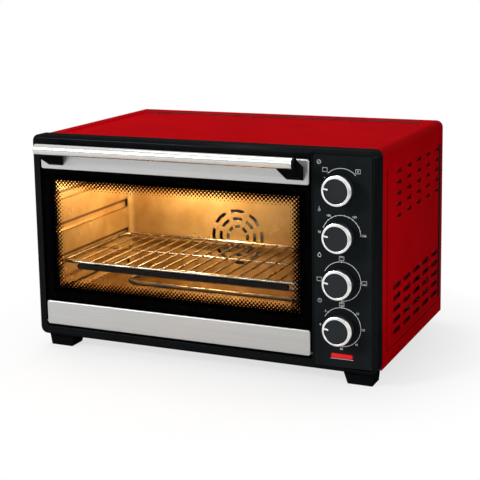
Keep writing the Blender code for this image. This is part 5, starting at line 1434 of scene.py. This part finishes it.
@dataclass
class GlassPrint:
    """The black border fired on the door's glass, which breaks up into dots round the window.

    Such dots are about 4 mm apart; these are a little coarser, so that a small picture still shows them.
    """

    patterns: Patterns
    left: float = -226 * MM
    right: float = 151.5 * MM
    low: float = 74.5 * MM
    high: float = 231.5 * MM
    pitch: float = 5.8 * MM
    fade: float = 13 * MM
    contrast: float = 0.8
    layer: float = 0.06 * MM
    gap: float = 0.01 * MM
    edge: float = 0.4 * MM
    corner: float = 1 * MM
    overlap: float = 0.4

    def level(self, depth: float) -> float:
        """Return how high the waves must stand for clear glass, at a depth inside the window's edge."""
        return self.contrast * (1 - 2 * depth / self.fade)

    def eight_sided(self, straight: float, diagonal: float) -> Outline:
        """Return an outline from its corners' reach along the axes and half-way between them."""
        reach = (straight, diagonal)
        return [(reach[turn % 2] * u, reach[turn % 2] * v) for turn, (u, v) in enumerate(circle(0, 0, 1, 8))]

    def contour(self, level: float) -> Outline:
        """Return the outline of one dot, for a level from 0 to 1."""
        wave = self.pitch / TURN
        return self.eight_sided(wave * math.acos(level), wave * math.acos(math.sqrt(level)) * math.sqrt(2))

    def cell(self, level: float) -> Object:
        """Return one black diamond with a clear dot in it, or a whole one for a level of 1."""
        half = self.pitch / 2
        outer = self.eight_sided(half, half / math.sqrt(2))
        if level >= 1:
            return solid("cell", Axis.Y, outer[::2], 0.0, self.layer)
        return shaped("cell", between(outer, self.contour(level), 0.0, self.layer), looped=True)

    def dot(self, level: float) -> Object:
        """Return one black dot."""
        return solid("dot", Axis.Y, self.contour(level), 0.0, self.layer)

    def sort_places(self) -> tuple[dict[float, list[Pair]], dict[float, list[Pair]]]:
        """Sort the lattice's places by the level there.

        Returns:
            The places of clear dots, and those of black dots.
        """
        half = self.pitch / 2
        middle = ((self.left + self.right) / 2, (self.low + self.high) / 2)
        reach = ((self.right - self.left) / 2, (self.high - self.low) / 2)
        counts = [int(length / half) + 2 for length in reach]
        clear: dict[float, list[Pair]] = {}
        black: dict[float, list[Pair]] = {}
        for column in range(-counts[0], counts[0] + 1):
            for row in range(-counts[1], counts[1] + 1):
                depth = min(reach[0] - abs(column) * half, reach[1] - abs(row) * half)
                if depth < -self.pitch or depth > self.fade:
                    continue
                binned = round(depth / half * 2) * half / 2
                level = self.level(binned) if depth >= 0 else 1.0
                spot = (middle[0] + column * half, middle[1] + row * half)
                if (column + row) % 2 == 0 and level > 0:
                    clear.setdefault(level, []).append(spot)
                elif (column + row) % 2 and level < self.overlap:
                    black.setdefault(max(-level, 0.0), []).append(spot)
        return clear, black

    def build(self) -> None:
        """Print the border and its dots on the back of the pane."""
        low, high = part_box("door_glass")
        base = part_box("front_frame")[0].z
        face, half, edge = high.y + self.gap, self.pitch / 2, self.edge
        outline = rounded(low.x + edge, high.x - edge, low.z + edge, high.z - edge, self.corner, 1)
        x0, x1, z0, z1 = self.left - half, self.right + half, base + self.low - half, base + self.high + half
        border = between(outline, rounded(x0, x1, z0, z1, self.corner, 1), face, face + self.layer)
        parts = [shaped("border", border, looped=True)]
        for maker, groups in zip((self.cell, self.dot), self.sort_places()):
            for level in sorted(groups):
                spots = path_object([(x, face, base + z) for x, z in groups[level]], joined_up=False)
                name = f"dots_{len(parts)}"
                parts.append(
                    self.patterns.places.make(name, Stock.glass_black, Piece=maker(level), Places=spots)
                )
        made = joined("door_glass_print", parts)
        hand_over(made, "door_glass", body=Body.DOOR, finish=Stock.glass_black)


@dataclass
class Door:
    """The drop-down door: dotted glass, two trims, the handle and the hinges."""

    patterns: Patterns
    handle_radius: float = 7.5 * MM
    handle_wall: float = 1.2 * MM
    overhang: float = 0.6 * MM
    end_round: float = 1.2 * MM
    plug: float = 5 * MM
    chamfer: float = 0.3 * MM
    handle_sides: int = 64
    end_steps: int = 4
    soft_edge: float = 0.5 * MM
    steel_edge: float = 0.2 * MM

    def handle(self) -> None:
        """Make the tube, closed and rounded at its left end, and soften what holds it."""
        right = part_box("handle_bar")[1].x
        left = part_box("handle_bracket_left")[0].x - self.overhang
        middle = middle_of("handle_bar")
        radius, bore, rim = self.handle_radius, self.handle_radius - self.handle_wall, self.end_round
        profile = [(left, 0.0)]
        end = sweep(0.0, QUARTER, self.end_steps)
        profile += [(left + rim * (1 - out), radius - rim + rim * up) for out, up in end]
        profile += [
            (right - self.chamfer, radius), (right, radius - self.chamfer), (right, bore), (left + self.plug, bore),
            (left + self.plug, 0.0),
        ]
        centre = (middle.y, middle.z)
        bar = turned("handle_bar_finished", Axis.X, centre, profile, self.handle_sides, looped=False)
        hand_over(settle(bar), "brushed_trim", "handle_bar", body=Body.DOOR, finish=Stock.polished_tube)
        for side in ("left", "right"):
            refine("black_plastic", self.soft_edge, f"handle_bracket_{side}", body=Body.DOOR, sharp=40.0)
            refine("zinc_steel", self.steel_edge, f"handle_screw_{side}", body=Body.DOOR)
            refine("zinc_steel", self.steel_edge, f"door_hinge_{side}", body=Body.DOOR, sharp=45.0)

    def build(self) -> None:
        """Make the pane with ground edges and the print on its back, the trims and the handle."""
        refine("door_glass", self.soft_edge, "door_glass", body=Body.DOOR)
        GlassPrint(self.patterns).build()
        Trim("door_top_trim", True).build()
        Trim("door_bottom_trim", False).build()
        self.handle()


@dataclass
class Cavity:
    """The sheet metal box that food is cooked in, with its rack, heating elements, lamp and fan."""

    patterns: Patterns
    fold: float = 0.45 * MM
    flat_edge: float = 0.3 * MM
    ceramic_edge: float = 0.4 * MM
    blade_edge: float = 0.2 * MM
    corner_fold: float = 9 * MM
    fold_steps: int = 8
    seam: float = 0.1 * MM
    wire: float = 2.5 * MM
    wire_sides: int = 16
    bar: float = 1.5 * MM
    bar_sides: int = 10
    bar_count: int = 18
    bar_inset: float = 22 * MM
    rack_corner: float = 12 * MM
    strip_inset: float = 23.5 * MM
    strip_trim: float = 2.2 * MM
    strip_corner: float = 3 * MM
    strip_front: float = 3.2 * MM
    strip_back: float = 1 * MM
    strip_edge: float = 0.5 * MM
    heater_radius: float = 3.5 * MM
    heater_sides: int = 20
    heater_steps: int = 24
    channel_count: int = 4
    channel_first: float = 33 * MM
    channel_drop: float = 64.5 * MM
    channel_depth: float = 6 * MM
    channel_ends: Pair = (6 * MM, 2 * MM)
    channel_shade_span: Pair = (7.3 * MM, 10.9 * MM)
    wall_shade_height: float = 1.2 * MM
    channel_shade_skin: float = 0.3 * MM

    def __post_init__(self) -> None:
        """Take the cavity's inner faces from its nodes."""
        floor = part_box("cavity_floor")
        self.left, self.right, self.front, self.floor = floor[0].x, floor[1].x, floor[0].y, floor[1].z
        self.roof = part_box("cavity_roof")[0].z
        self.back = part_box("cavity_back")[0].y

    def corners(self) -> None:
        """Close the two upright corners at the back with the sheet's rounded fold."""
        bm = bmesh.new()
        fold, tuck = self.corner_fold, self.seam / 2
        for side, wall in ((1, self.left), (-1, self.right)):
            bend = sweep(0.0, QUARTER, self.fold_steps)
            arc = [(wall + side * fold * (1 - out), self.back - fold * (1 - up)) for out, up in bend]
            arc.append((wall + side * tuck, self.back - tuck))
            prism(bm, Axis.Z, arc, self.floor + self.seam, self.roof - self.seam)
        hand_over(settle(new_object("cavity_corner_folds", bm)), "cavity_steel")

    def channel_edges(self) -> None:
        """Paint shade on the shelf channels, as dark brown strips where the channels lie in shade."""
        bm = bmesh.new()
        front, back = self.front + self.channel_ends[0], self.back - self.channel_ends[1]
        lowest = self.floor + self.channel_first
        pitch = (self.roof - self.channel_drop - lowest) / (self.channel_count - 1)
        for side, wall in ((1, self.left), (-1, self.right)):
            bed = wall - side * self.channel_depth
            for z in (lowest + row * pitch for row in range(self.channel_count)):
                # Painted shade: one strip on the upper part of the channel's bed and one on the wall just below the
                # channel.
                for x, low, high in ((bed, z + self.channel_shade_span[0], z + self.channel_shade_span[1]), (wall, z - self.wall_shade_height, z)):
                    near, far = x - side * self.seam / 2, x + side * self.channel_shade_skin
                    prism(bm, Axis.Y, [(near, low), (far, low), (far, high), (near, high)], front, back)
        hand_over(settle(new_object("channel_edges", bm)), "cavity_steel", finish=Stock.channel_shade_steel)

    def tube(self, name: str, points: Sequence[Sequence[float]], radius: float, sides: int, **path: bool) -> Object:
        """Return a chromed tube along a line of points."""
        line = path_object(points, **path)
        return self.patterns.tube.make(name, Stock.rack_chrome, Path=line, Radius=radius, Sides=sides)

    def rack(self) -> None:
        """Make the wire rack from round tubes, and its dark front strip."""
        low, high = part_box("wire_rack")
        level = high.z - self.wire
        x0, x1, y0, y1 = low.x + self.wire, high.x - self.wire, low.y + self.wire, high.y - self.wire
        loop = [place(Axis.Z, x, y, level) for x, y in rounded(x0, x1, y0, y1, self.rack_corner, steps=8)]
        first = self.left + self.bar_inset
        pitch = (self.right - self.bar_inset - first) / (self.bar_count - 1)
        middle, tie = (y0 + y1) / 2, level - self.wire + self.bar
        bar = self.tube("rack_bar", [(0.0, y0, 0.0), (0.0, y1, 0.0)], self.bar, self.bar_sides)
        bars = self.patterns.grid.make(
            "rack_bars", Stock.rack_chrome, Piece=bar, Columns=self.bar_count, Rows=1,
            Start=(first, 0.0, level), Column_Step=(pitch, 0.0, 0.0), Row_Step=(0.0, 0.0, 0.0),
        )
        parts = [
            self.tube("rack_outer", loop, self.wire, self.wire_sides, looped=True), bars,
            self.tube("rack_tie", [(x, middle, tie) for x in (x0, x1)], self.bar, self.bar_sides),
        ]
        hand_over(settle(joined("wire_rack_finished", parts)), "rack_chrome", "wire_rack", body=Body.RACK)
        lowest = Vector((self.left + self.strip_inset, 0.0, low.z + self.strip_trim))
        highest = Vector((self.right - self.strip_inset, 0.0, level - self.strip_trim))
        front, edge = y0 - self.strip_front, self.strip_edge
        sections = [(edge, front), (0.0, front + edge), (0.0, y0 + self.strip_back)]
        rings = banded(lowest, highest, self.strip_corner, sections, self.strip_corner, steps=8)
        strip = settle(shaped("rack_front_strip", rings))
        hand_over(strip, "rack_chrome", body=Body.RACK, finish=Stock.strip_black)

    def heaters(self) -> None:
        """Make both U-shaped elements and soften their holders and clips."""
        radius = self.heater_radius
        for node in ("lower_heater", "upper_heater"):
            low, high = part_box(node)
            y0, y1, z = low.y + radius, high.y - radius, (low.z + high.z) / 2
            bend, middle = (y1 - y0) / 2, (y0 + y1) / 2
            centre = low.x + radius + bend
            turn = sweep(-QUARTER, -3 * QUARTER, self.heater_steps)
            arc = [(centre + bend * u, middle + bend * v, z) for u, v in turn]
            path = path_object([(high.x, y0, z), *arc, (high.x, y1, z)])
            tube = self.patterns.tube.make(
                f"{node}_finished", Stock.heater_sheath, Path=path, Radius=radius, Sides=self.heater_sides
            )
            hand_over(settle(tube), "heater_sheath", node)
            refine("ceramic", self.ceramic_edge, f"{node}_holder")
            refine("galvanised_steel", self.flat_edge, f"{node}_clip")

    def build(self) -> None:
        """Make the cavity and everything in it and behind it."""
        refine("cavity_steel", self.fold, "cavity_left_wall", "cavity_right_wall", sharp=12.0, segments=3)
        refine("cavity_steel", self.flat_edge, "cavity_floor", "cavity_roof", "cavity_back")
        self.corners()
        self.channel_edges()
        self.rack()
        self.heaters()
        refine("clear_glass", self.flat_edge, "lamp_cover")
        refine("galvanised_steel", self.blade_edge, "fan_blade", body=Body.FAN, sharp=40.0)
        carry("clear_glass", "lamp_bulb")
        carry("galvanised_steel", "lamp_housing", "fan_housing", "heat_shield")
        carry("motor_steel", "fan_motor")


@dataclass
class Knob:
    """One knob: a flared metal ring turned on a lathe, a flat dark cap, a dark body and a white pointer.

    In both profiles the edges are broken by a few tenths of a millimetre.
    """

    label: str
    body: Body
    flare: float = 2.2 * MM
    flare_length: float = 4.3 * MM
    rim: float = 1.9 * MM
    groove: float = 0.35 * MM
    step: float = 0.8 * MM
    pointer_length: float = 6 * MM
    pointer_width: float = 2.2 * MM
    pointer_angle: float = math.radians(170)
    pointer_round: float = 0.95
    pointer_gap: float = 0.05 * MM
    hub: float = 6 * MM
    hub_length: float = 13 * MM
    bore: float = 3.3 * MM
    wall: float = 2 * MM
    fit: float = 0.3 * MM

    def build(self) -> None:
        """Make the ring with its pointer, and the cap with its body."""
        ring_node, cap_node = f"{self.label}_knob_ring", f"{self.label}_knob_cap"
        low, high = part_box(ring_node)
        cap_low, cap_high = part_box(cap_node)
        centre = centre_of(ring_node)
        outer = (high.x - low.x) / 2
        inside = outer - self.flare - self.rim
        ring = turned(f"{self.label}_ring", Axis.Y, centre, self.ring(low.y, high.y, outer))
        settle(ring, smooth_angle=50.0)
        half = self.pointer_width / 2
        outline = rounded(inside - self.pointer_length, inside + self.rim / 2, -half, half, half * self.pointer_round)
        turn = Matrix.Rotation(self.pointer_angle, 2)
        spun = [(centre[0] + point.x, centre[1] + point.y) for point in (turn @ Vector(spot) for spot in outline)]
        front, back = low.y + self.fit, cap_low.y - self.pointer_gap
        pointer = solid(f"{self.label}_pointer", Axis.Y, spun, front, back)
        made = joined(f"{ring_node}_finished", [ring, settle(pointer)])
        hand_over(made, "knob_silver", ring_node, body=self.body)
        profile = self.cap(cap_low.y, cap_high.y, high.y + self.fit, inside - self.fit, (cap_high.x - cap_low.x) / 2)
        cap = settle(turned(f"{cap_node}_finished", Axis.Y, centre, profile, looped=False))
        hand_over(cap, "knob_black", cap_node, body=self.body)
        carry("zinc_steel", f"{self.label}_shaft")

    def ring(self, front: float, back: float, outer: float) -> Outline:
        """Return the ring's profile: a flat rim, a step, the flare with its groove, and a plain barrel.

        Args:
            front: the rim's Y.
            back: the barrel's end.
            outer: the barrel's radius.

        Returns:
            Pairs of Y and radius.
        """
        face = outer - self.flare
        inside = face - self.rim
        flared = front + self.flare_length
        ridge, middle = (front + flared) / 2, (face + outer) / 2
        return [
            (back, inside), (front + 0.5 * MM, inside), (front + 0.15 * MM, inside + 0.15 * MM),
            (front, inside + 0.5 * MM), (front, face - 0.6 * MM), (front + 0.15 * MM, face - 0.15 * MM),
            (front + 0.6 * MM, face), (front + 0.6 * MM, face - self.step), (front + 1.3 * MM, face - self.step),
            (front + 1.3 * MM, face + 0.2 * MM), (ridge - self.groove, middle), (ridge, middle - 2 * self.groove),
            (ridge + self.groove, middle + self.groove), (flared - 0.4 * MM, outer - 0.2 * MM), (flared, outer),
            (back - 0.3 * MM, outer), (back, outer - 0.3 * MM),
        ]

    def cap(self, front: float, base: float, collar: float, neck: float, side: float) -> Outline:
        """Return the profile of the cap and the body behind it, hollow round a hub.

        Args:
            front: the cap's Y.
            base: the body's end.
            collar: the Y where the body widens, just behind the ring.
            neck: the cap's radius.
            side: the body's radius.

        Returns:
            Pairs of Y and radius, from the axis to the axis.
        """
        wall = self.wall
        end = front + wall + self.hub_length
        return [
            (front + 0.3 * MM, 0.0), (front + 0.2 * MM, neck * 0.5), (front, neck - 0.6 * MM),
            (front + 0.2 * MM, neck - 0.1 * MM), (front + 0.6 * MM, neck), (collar, neck),
            (collar, side - 0.4 * MM), (collar + 0.4 * MM, side), (base - 0.4 * MM, side), (base, side - 0.4 * MM),
            (base, side - wall), (collar + wall, side - wall), (collar + wall, neck - wall),
            (front + wall, neck - wall), (front + wall, self.hub), (end, self.hub), (end, self.bore),
            (front + 2 * wall, self.bore), (front + 2 * wall, 0.0),
        ]


class Controls:
    """The four knobs and what they turn behind the panel."""

    def build(self) -> None:
        """Make the knobs and dress the switches."""
        for body in (Body.CONVECTION, Body.THERMOSTAT, Body.FUNCTION, Body.TIMER):
            Knob(body.name.lower(), body).build()
        carry("switch_plastic", "convection_switch", "function_switch")
        carry("ceramic", "thermostat", "terminal_block")
        carry("galvanised_steel", "timer")
        carry("bell_brass", "timer_bell")


@dataclass(frozen=True)
class Stroke:
    """One line of a little picture, its points in halves of the picture's size."""

    points: tuple[Pair, ...]
    looped: bool = False
    weight: float = 1.0


def ring_stroke(v: float, radius: float, steps: int = 90) -> Stroke:
    """Return a whole ring, as high over the picture's middle as v."""
    return Stroke(tuple((radius * up, v + radius * across) for across, up in sweep(0.0, TURN, steps)[:-1]), True)


OVEN_BOX = Stroke(((-1, -0.8), (1, -0.8), (1, 0.8), (-1, 0.8)), True)
LOWER_BAR = Stroke(((-0.6, -0.35), (0.6, -0.35)))
UPPER_BAR = Stroke(((-0.6, 0.35), (0.6, 0.35)))
BLADES = tuple(Stroke(((0, 0), (0.5 * u, 0.5 * v))) for u, v in sweep(QUARTER / 2, QUARTER / 2 + TURN, 4)[:-1])


class Icon(Enum):
    """The little pictures printed by the dials, each as its strokes."""

    BOX = (OVEN_BOX,)
    FAN_BOX = (OVEN_BOX, *BLADES)
    LOWER_BOX = (OVEN_BOX, LOWER_BAR)
    UPPER_BOX = (OVEN_BOX, UPPER_BAR)
    BOTH_BOX = (OVEN_BOX, LOWER_BAR, UPPER_BAR)
    SLASHED_RING = (ring_stroke(0.0, 0.8), Stroke(((-0.5, -0.5), (0.5, 0.5))))
    THERMOMETER = (ring_stroke(-0.5, 0.42), Stroke(((0, -0.2), (0, 1))))
    FLAME = (Stroke(((0, 1), (0.7, -0.1), (0.5, -0.8), (-0.5, -0.8), (-0.7, -0.1)), True, 1.3),)
    CLOCK = (ring_stroke(0.0, 0.8), Stroke(((0, 0.45), (0, 0), (0.35, 0))))


@dataclass(frozen=True)
class Dial:
    """What is printed round one knob. Angles are in degrees, clockwise from the top.

    The arc is a first and a last angle; each row of ticks a first angle, a step, a count and a length.
    Icons and numbers stand at an angle and a reach.
    """

    title: Icon
    arc: Pair
    ticks: tuple[tuple[float, float, int, float], ...]
    icons: tuple[tuple[Icon, float, float], ...] = ()
    numbers: tuple[tuple[str, float], ...] = ()
    number_reach: float = 30 * MM


DIALS = {
    "convection": Dial(
        Icon.SLASHED_RING, (-45, 45), ((45, 1, 2, 1.4 * MM), (-82, 22, 2, 1.6 * MM)),
        ((Icon.BOX, -43.7, 32.5 * MM), (Icon.FAN_BOX, 44.1, 32.1 * MM)),
    ),
    "thermostat": Dial(
        Icon.THERMOMETER, (-70, 88), ((-70, 13.2, 13, 1.6 * MM),),
        numbers=(("50", -86), ("100", -35.4), ("150", 35.1), ("250", 87.8)), number_reach=30.6 * MM,
    ),
    "function": Dial(
        Icon.FLAME, (-62, 180), ((-90, 90, 4, 2 * MM),),
        tuple(
            (icon, angle, 30.9 * MM)
            for icon, angle in ((Icon.UPPER_BOX, 0), (Icon.LOWER_BOX, 89.5), (Icon.BOTH_BOX, 180), (Icon.BOX, -88.7))
        ),
    ),
    "timer": Dial(
        Icon.CLOCK, (-62, 180), ((-90, 45, 7, 2 * MM),),
        numbers=(("0", -89), ("5", -49), ("15", 47), ("30", 92), ("45", 137), ("60", 181)), number_reach=29.8 * MM,
    ),
}


@dataclass
class PanelPrint:
    """The white print on the control panel: an arc, ticks, numbers and little pictures at each knob."""

    patterns: Patterns
    radius: float = 26.3 * MM
    line: float = 0.55 * MM
    thin: float = 0.38 * MM
    title: Pair = (-30.6 * MM, 33.4 * MM)
    ink: float = 0.05 * MM
    box: float = 6.4 * MM
    digit: float = 4.0 * MM
    indicator_highlight_inset: float = 1.0 * MM
    arc_step: float = 4.0
    tick_share: float = 0.7
    digit_steps: int = 3

    def __post_init__(self) -> None:
        """Start with nothing printed."""
        self.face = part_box("control_panel")[0].y
        self.parts: list[Object] = []

    def stroke(self, points: Sequence[Pair], width: float, looped: bool = False) -> None:
        """Print a line of even width through points on the panel.

        Args:
            points: places across and up.
            width: the line's width.
            looped: whether it closes on itself.
        """
        count = len(points)
        line = [Vector(point) for point in points]
        edges: tuple[list[Vector], list[Vector]] = ([], [])
        for index, point in enumerate(line):
            before = line[index - 1] if looped or index else point
            after = line[(index + 1) % count] if looped or index < count - 1 else point
            run = (after - before).normalized()
            across = Vector((-run.y, run.x)) * width / 2
            if looped or 0 < index < count - 1:
                corner = (after - point).normalized().dot((point - before).normalized())
                across /= max(math.sqrt(max((1 + corner) / 2, 0.0)), 0.5)
            edges[0].append(point - across)
            edges[1].append(point + across)
        self.parts.append(shaped("stroke", between(*edges, self.face, self.face - self.ink), looped))

    def around(self, centre: Pair, angle: float, reach: float) -> Pair:
        """Return the place at an angle clockwise from the top and a reach from a dial's centre."""
        turn = math.radians(angle)
        return centre[0] + reach * math.sin(turn), centre[1] + reach * math.cos(turn)

    def ticks(self, centre: Pair, first: float, step: float, count: int, length: float) -> None:
        """Print a row of ticks on a dial's arc.

        Args:
            centre: the dial's centre.
            first: the first tick's angle.
            step: the angle between ticks.
            count: how many ticks.
            length: each tick's length.
        """
        half, low, high = self.line * self.tick_share, self.radius - length / 2, self.radius + length / 2
        outline = [(-half, low), (half, low), (half, high), (-half, high)]
        tick = solid("tick", Axis.Y, outline, self.face - self.ink, self.face)
        self.parts.append(
            self.patterns.dial.make(
                "ticks", Stock.print_and_highlight_white, Piece=tick, Count=count, Centre=(centre[0], 0.0, centre[1]),
                First_Angle=math.radians(first), Step_Angle=math.radians(step),
            )
        )

    def number(self, text: str, at: Pair) -> None:
        """Print a plain number with its middle at a place.

        Args:
            text: the number.
            at: its place across and up.
        """
        curve = bpy.data.curves.new("number", "FONT")
        curve.body = text
        curve.size = self.digit
        curve.align_x = curve.align_y = "CENTER"
        curve.extrude = self.ink / 2
        curve.resolution_u = self.digit_steps
        holder = linked("number", curve)
        mesh = baked(holder)
        bpy.data.objects.remove(holder)
        stand = Matrix.Translation((at[0], self.face - self.ink / 2, at[1])) @ Matrix.Rotation(QUARTER, 4, "X")
        mesh.transform(stand)
        bm = bmesh.new()
        bm.from_mesh(mesh)
        bmesh.ops.remove_doubles(bm, verts=bm.verts, dist=WELD)
        self.parts.append(new_object("number", bm))

    def icon(self, icon: Icon, at: Pair) -> None:
        """Print one of the little pictures with its middle at a place."""
        half = self.box / 2
        for mark in icon.value:
            points = [(at[0] + half * u, at[1] + half * v) for u, v in mark.points]
            self.stroke(points, self.thin * mark.weight, mark.looped)

    def dial(self, centre: Pair, dial: Dial) -> None:
        """Print all that belongs to one dial.

        Args:
            centre: the dial's centre.
            dial: what is printed round it.
        """
        self.icon(dial.title, (centre[0] + self.title[0], centre[1] + self.title[1]))
        first, last = dial.arc
        steps = int((last - first) / self.arc_step)
        angles = [first + (last - first) * step / steps for step in range(steps + 1)]
        self.stroke([self.around(centre, angle, self.radius) for angle in angles], self.line)
        for row in dial.ticks:
            self.ticks(centre, *row)
        for icon, angle, reach in dial.icons:
            self.icon(icon, self.around(centre, angle, reach))
        for text, angle in dial.numbers:
            self.number(text, self.around(centre, angle, dial.number_reach))

    def build(self) -> None:
        """Print the four dials, and paint a highlight line under the indicator."""
        for label, dial in DIALS.items():
            self.dial(centre_of(f"{label}_knob_ring"), dial)
        # Painted highlight: a thin white line for the light along the lens's lower edge.
        low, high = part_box("indicator_lens")
        under = low.z + self.indicator_highlight_inset
        self.stroke([(low.x + self.indicator_highlight_inset, under), (high.x - self.indicator_highlight_inset, under)], self.thin)
        hand_over(joined("panel_print", self.parts), "panel_black", finish=Stock.print_and_highlight_white)


# The studio


@dataclass(frozen=True)
class SoftBox:
    """A soft rectangular light: its name, place, what it points at, width and height, and watts."""

    name: str
    at: Triple
    aim: Triple
    size: Pair
    power: float

    def hang(self) -> None:
        """Hang the light."""
        data = bpy.data.lights.new(self.name, "AREA")
        data.shape = "RECTANGLE"
        data.size, data.size_y = self.size
        data.energy = self.power
        lamp = linked(self.name, data)
        lamp.location = self.at
        lamp.rotation_mode = "QUATERNION"
        lamp.rotation_quaternion = (Vector(self.aim) - Vector(self.at)).to_track_quat("-Z", "Y")


@dataclass
class Studio:
    """The pale floor, the white surround, soft lights, the oven's own lamp and the camera."""

    camera_place: Triple = (0.7157, -1.5731, 0.5562)
    yaw: float = math.radians(24.39)
    pitch: float = math.radians(9.791)
    roll: float = math.radians(-0.977)
    focal: float = 1193.5
    shift_y: float = -0.15
    ambient: float = 0.17
    floor_size: float = 12.0
    floor_mottle: float = 1 / 6
    floor_fade: Pair = (0.25, 0.45)
    floor_white: float = 0.7
    lights: tuple[SoftBox, ...] = (
        SoftBox("top_light", (-0.3, 0.25, 2.0), (0.0, 0.1, 0.2), (1.0, 0.8), 17.0),
        SoftBox("key_light", (-1.2, -1.8, 1.25), (0.0, 0.0, 0.15), (0.6, 0.6), 35.0),
        SoftBox("strip_light", (-0.5, -0.36, 1.6), (0.0, -0.15, 0.3), (1.6, 0.1), 2.0),
        SoftBox("side_light", (0.75, -0.5, 0.35), (0.26, -0.05, 0.15), (0.3, 0.4), 1.4),
    )
    lamp_offset: Triple = (-250 * MM, -35 * MM, -12 * MM)
    lamp_power: float = 6.2
    lamp_bulb: float = 8 * MM
    lamp_colour: str = "FFE2AC"
    out_of_reach: tuple[str, ...] = (
        "studio_floor", "door_top_trim_finished", "door_bottom_trim_finished", "handle_bar_finished",
    )

    def camera(self) -> None:
        """Set the camera where the photograph was taken from."""
        sy, cy = math.sin(self.yaw), math.cos(self.yaw)
        sp, cp = math.sin(self.pitch), math.cos(self.pitch)
        sr, cr = math.sin(self.roll), math.cos(self.roll)
        forward = Vector((-sy * cp, cy * cp, -sp))
        level = Vector((cy, sy, 0.0))
        above = level.cross(forward)
        turn = Matrix((cr * level + sr * above, -sr * level + cr * above, -forward)).transposed().to_4x4()
        data = bpy.data.cameras.new("camera")
        data.sensor_width = SENSOR
        data.lens = self.focal * SENSOR / IMAGE_SIZE
        data.shift_y = self.shift_y
        eye = linked("camera", data)
        eye.matrix_world = Matrix.Translation(self.camera_place) @ turn
        bpy.context.scene.camera = eye

    def surround(self) -> None:
        """Set a white surround that the eye, metal and glass see in full, and the oven at a softer level."""
        world = bpy.data.worlds.new("surround")
        tree = empty_tree(world)
        path = add_node(tree, "ShaderNodeLightPath")
        seen = path.outputs["Is Camera Ray"]
        for label in ("Is Glossy Ray", "Is Transmission Ray"):
            seen = add_node(tree, "ShaderNodeMath", {0: seen, 1: path.outputs[label]}, operation="MAXIMUM").outputs[0]
        levels = {"Value": seen, "To Min": self.ambient, "To Max": 1.0}
        strength = add_node(tree, "ShaderNodeMapRange", levels).outputs["Result"]
        light = add_node(tree, "ShaderNodeBackground", {"Color": linear("FFFFFF"), "Strength": strength})
        add_node(tree, "ShaderNodeOutputWorld", {"Surface": light.outputs["Background"]})
        bpy.context.scene.world = world

    def floor(self) -> None:
        """Lay the pale floor; away from the oven it fades into the white surround."""
        half = self.floor_size / 2
        corners = ((-half, -half), (half, -half), (half, half), (-half, half))
        bm = bmesh.new()
        bm.faces.new([bm.verts.new((x, y, 0.0)) for x, y in corners])
        sheet = new_object("studio_floor", bm, outwards=False)
        material = bpy.data.materials.new("pale_floor")
        tree = empty_tree(material)
        spot = add_node(tree, "ShaderNodeTexCoord").outputs["Object"]
        mottle = add_node(tree, "ShaderNodeTexNoise", {"Vector": spot, "Scale": 1 / self.floor_mottle})
        tones = {"Factor": mottle.outputs["Fac"], MIX_FIRST: linear("F4F4F4"), MIX_SECOND: linear("F7F7F7")}
        tone = add_node(tree, "ShaderNodeMix", tones, data_type="RGBA").outputs[MIX_RESULT]
        card = add_node(tree, "ShaderNodeBsdfDiffuse", {"Color": tone}).outputs["BSDF"]
        glow = {"Color": linear("FFFFFF"), "Strength": 1.0}
        white = add_node(tree, "ShaderNodeEmission", glow).outputs["Emission"]
        reach = add_node(tree, "ShaderNodeVectorMath", {0: spot}, operation="LENGTH").outputs["Value"]
        near, far = self.floor_fade
        limits = {"Value": reach, "From Min": near, "From Max": far, "To Min": self.floor_white, "To Max": 1.0}
        fade = add_node(tree, "ShaderNodeMapRange", limits).outputs["Result"]
        seen = add_node(tree, "ShaderNodeLightPath").outputs["Is Camera Ray"]
        amount = add_node(tree, "ShaderNodeMath", {0: fade, 1: seen}, operation="MULTIPLY").outputs[0]
        mixed = add_node(tree, "ShaderNodeMixShader", {0: amount, 1: card, 2: white})
        add_node(tree, "ShaderNodeOutputMaterial", {"Surface": mixed.outputs["Shader"]})
        sheet.data.materials.append(material)

    def oven_lamp(self) -> None:
        """Light the cavity warmly, from the left of the lamp's cover, as the glow in the photograph lies."""
        data = bpy.data.lights.new("oven_lamp", "POINT")
        data.energy = self.lamp_power
        data.shadow_soft_size = self.lamp_bulb
        data.color = linear(self.lamp_colour)[:3]
        lit = bpy.data.collections.new("lit_by_oven_lamp")
        for kept in bpy.context.scene.objects:
            if kept.type == "MESH" and kept.name not in self.out_of_reach:
                lit.objects.link(kept)
        lamp = linked("oven_lamp", data)
        lamp.location = middle_of("lamp_cover") + Vector(self.lamp_offset)
        lamp.light_linking.receiver_collection = lit

    def build(self) -> None:
        """Set up the whole studio."""
        self.camera()
        self.surround()
        self.floor()
        for light in self.lights:
            light.hang()
        self.oven_lamp()
        bpy.context.scene.view_settings.view_transform = "Standard"
        LOG.info("the studio is set")


def main() -> None:
    """Build the oven's sub-assemblies in order, then the studio."""
    logging.basicConfig(level=logging.INFO, format="%(name)s: %(message)s")
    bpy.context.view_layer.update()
    patterns = Patterns()
    for assembly in (
        OuterShell(patterns), Rear(patterns), FrontFrame(), Cavity(patterns), Door(patterns), Controls(),
        PanelPrint(patterns), Studio(),
    ):
        assembly.build()


if __name__ == "__main__":
    main()
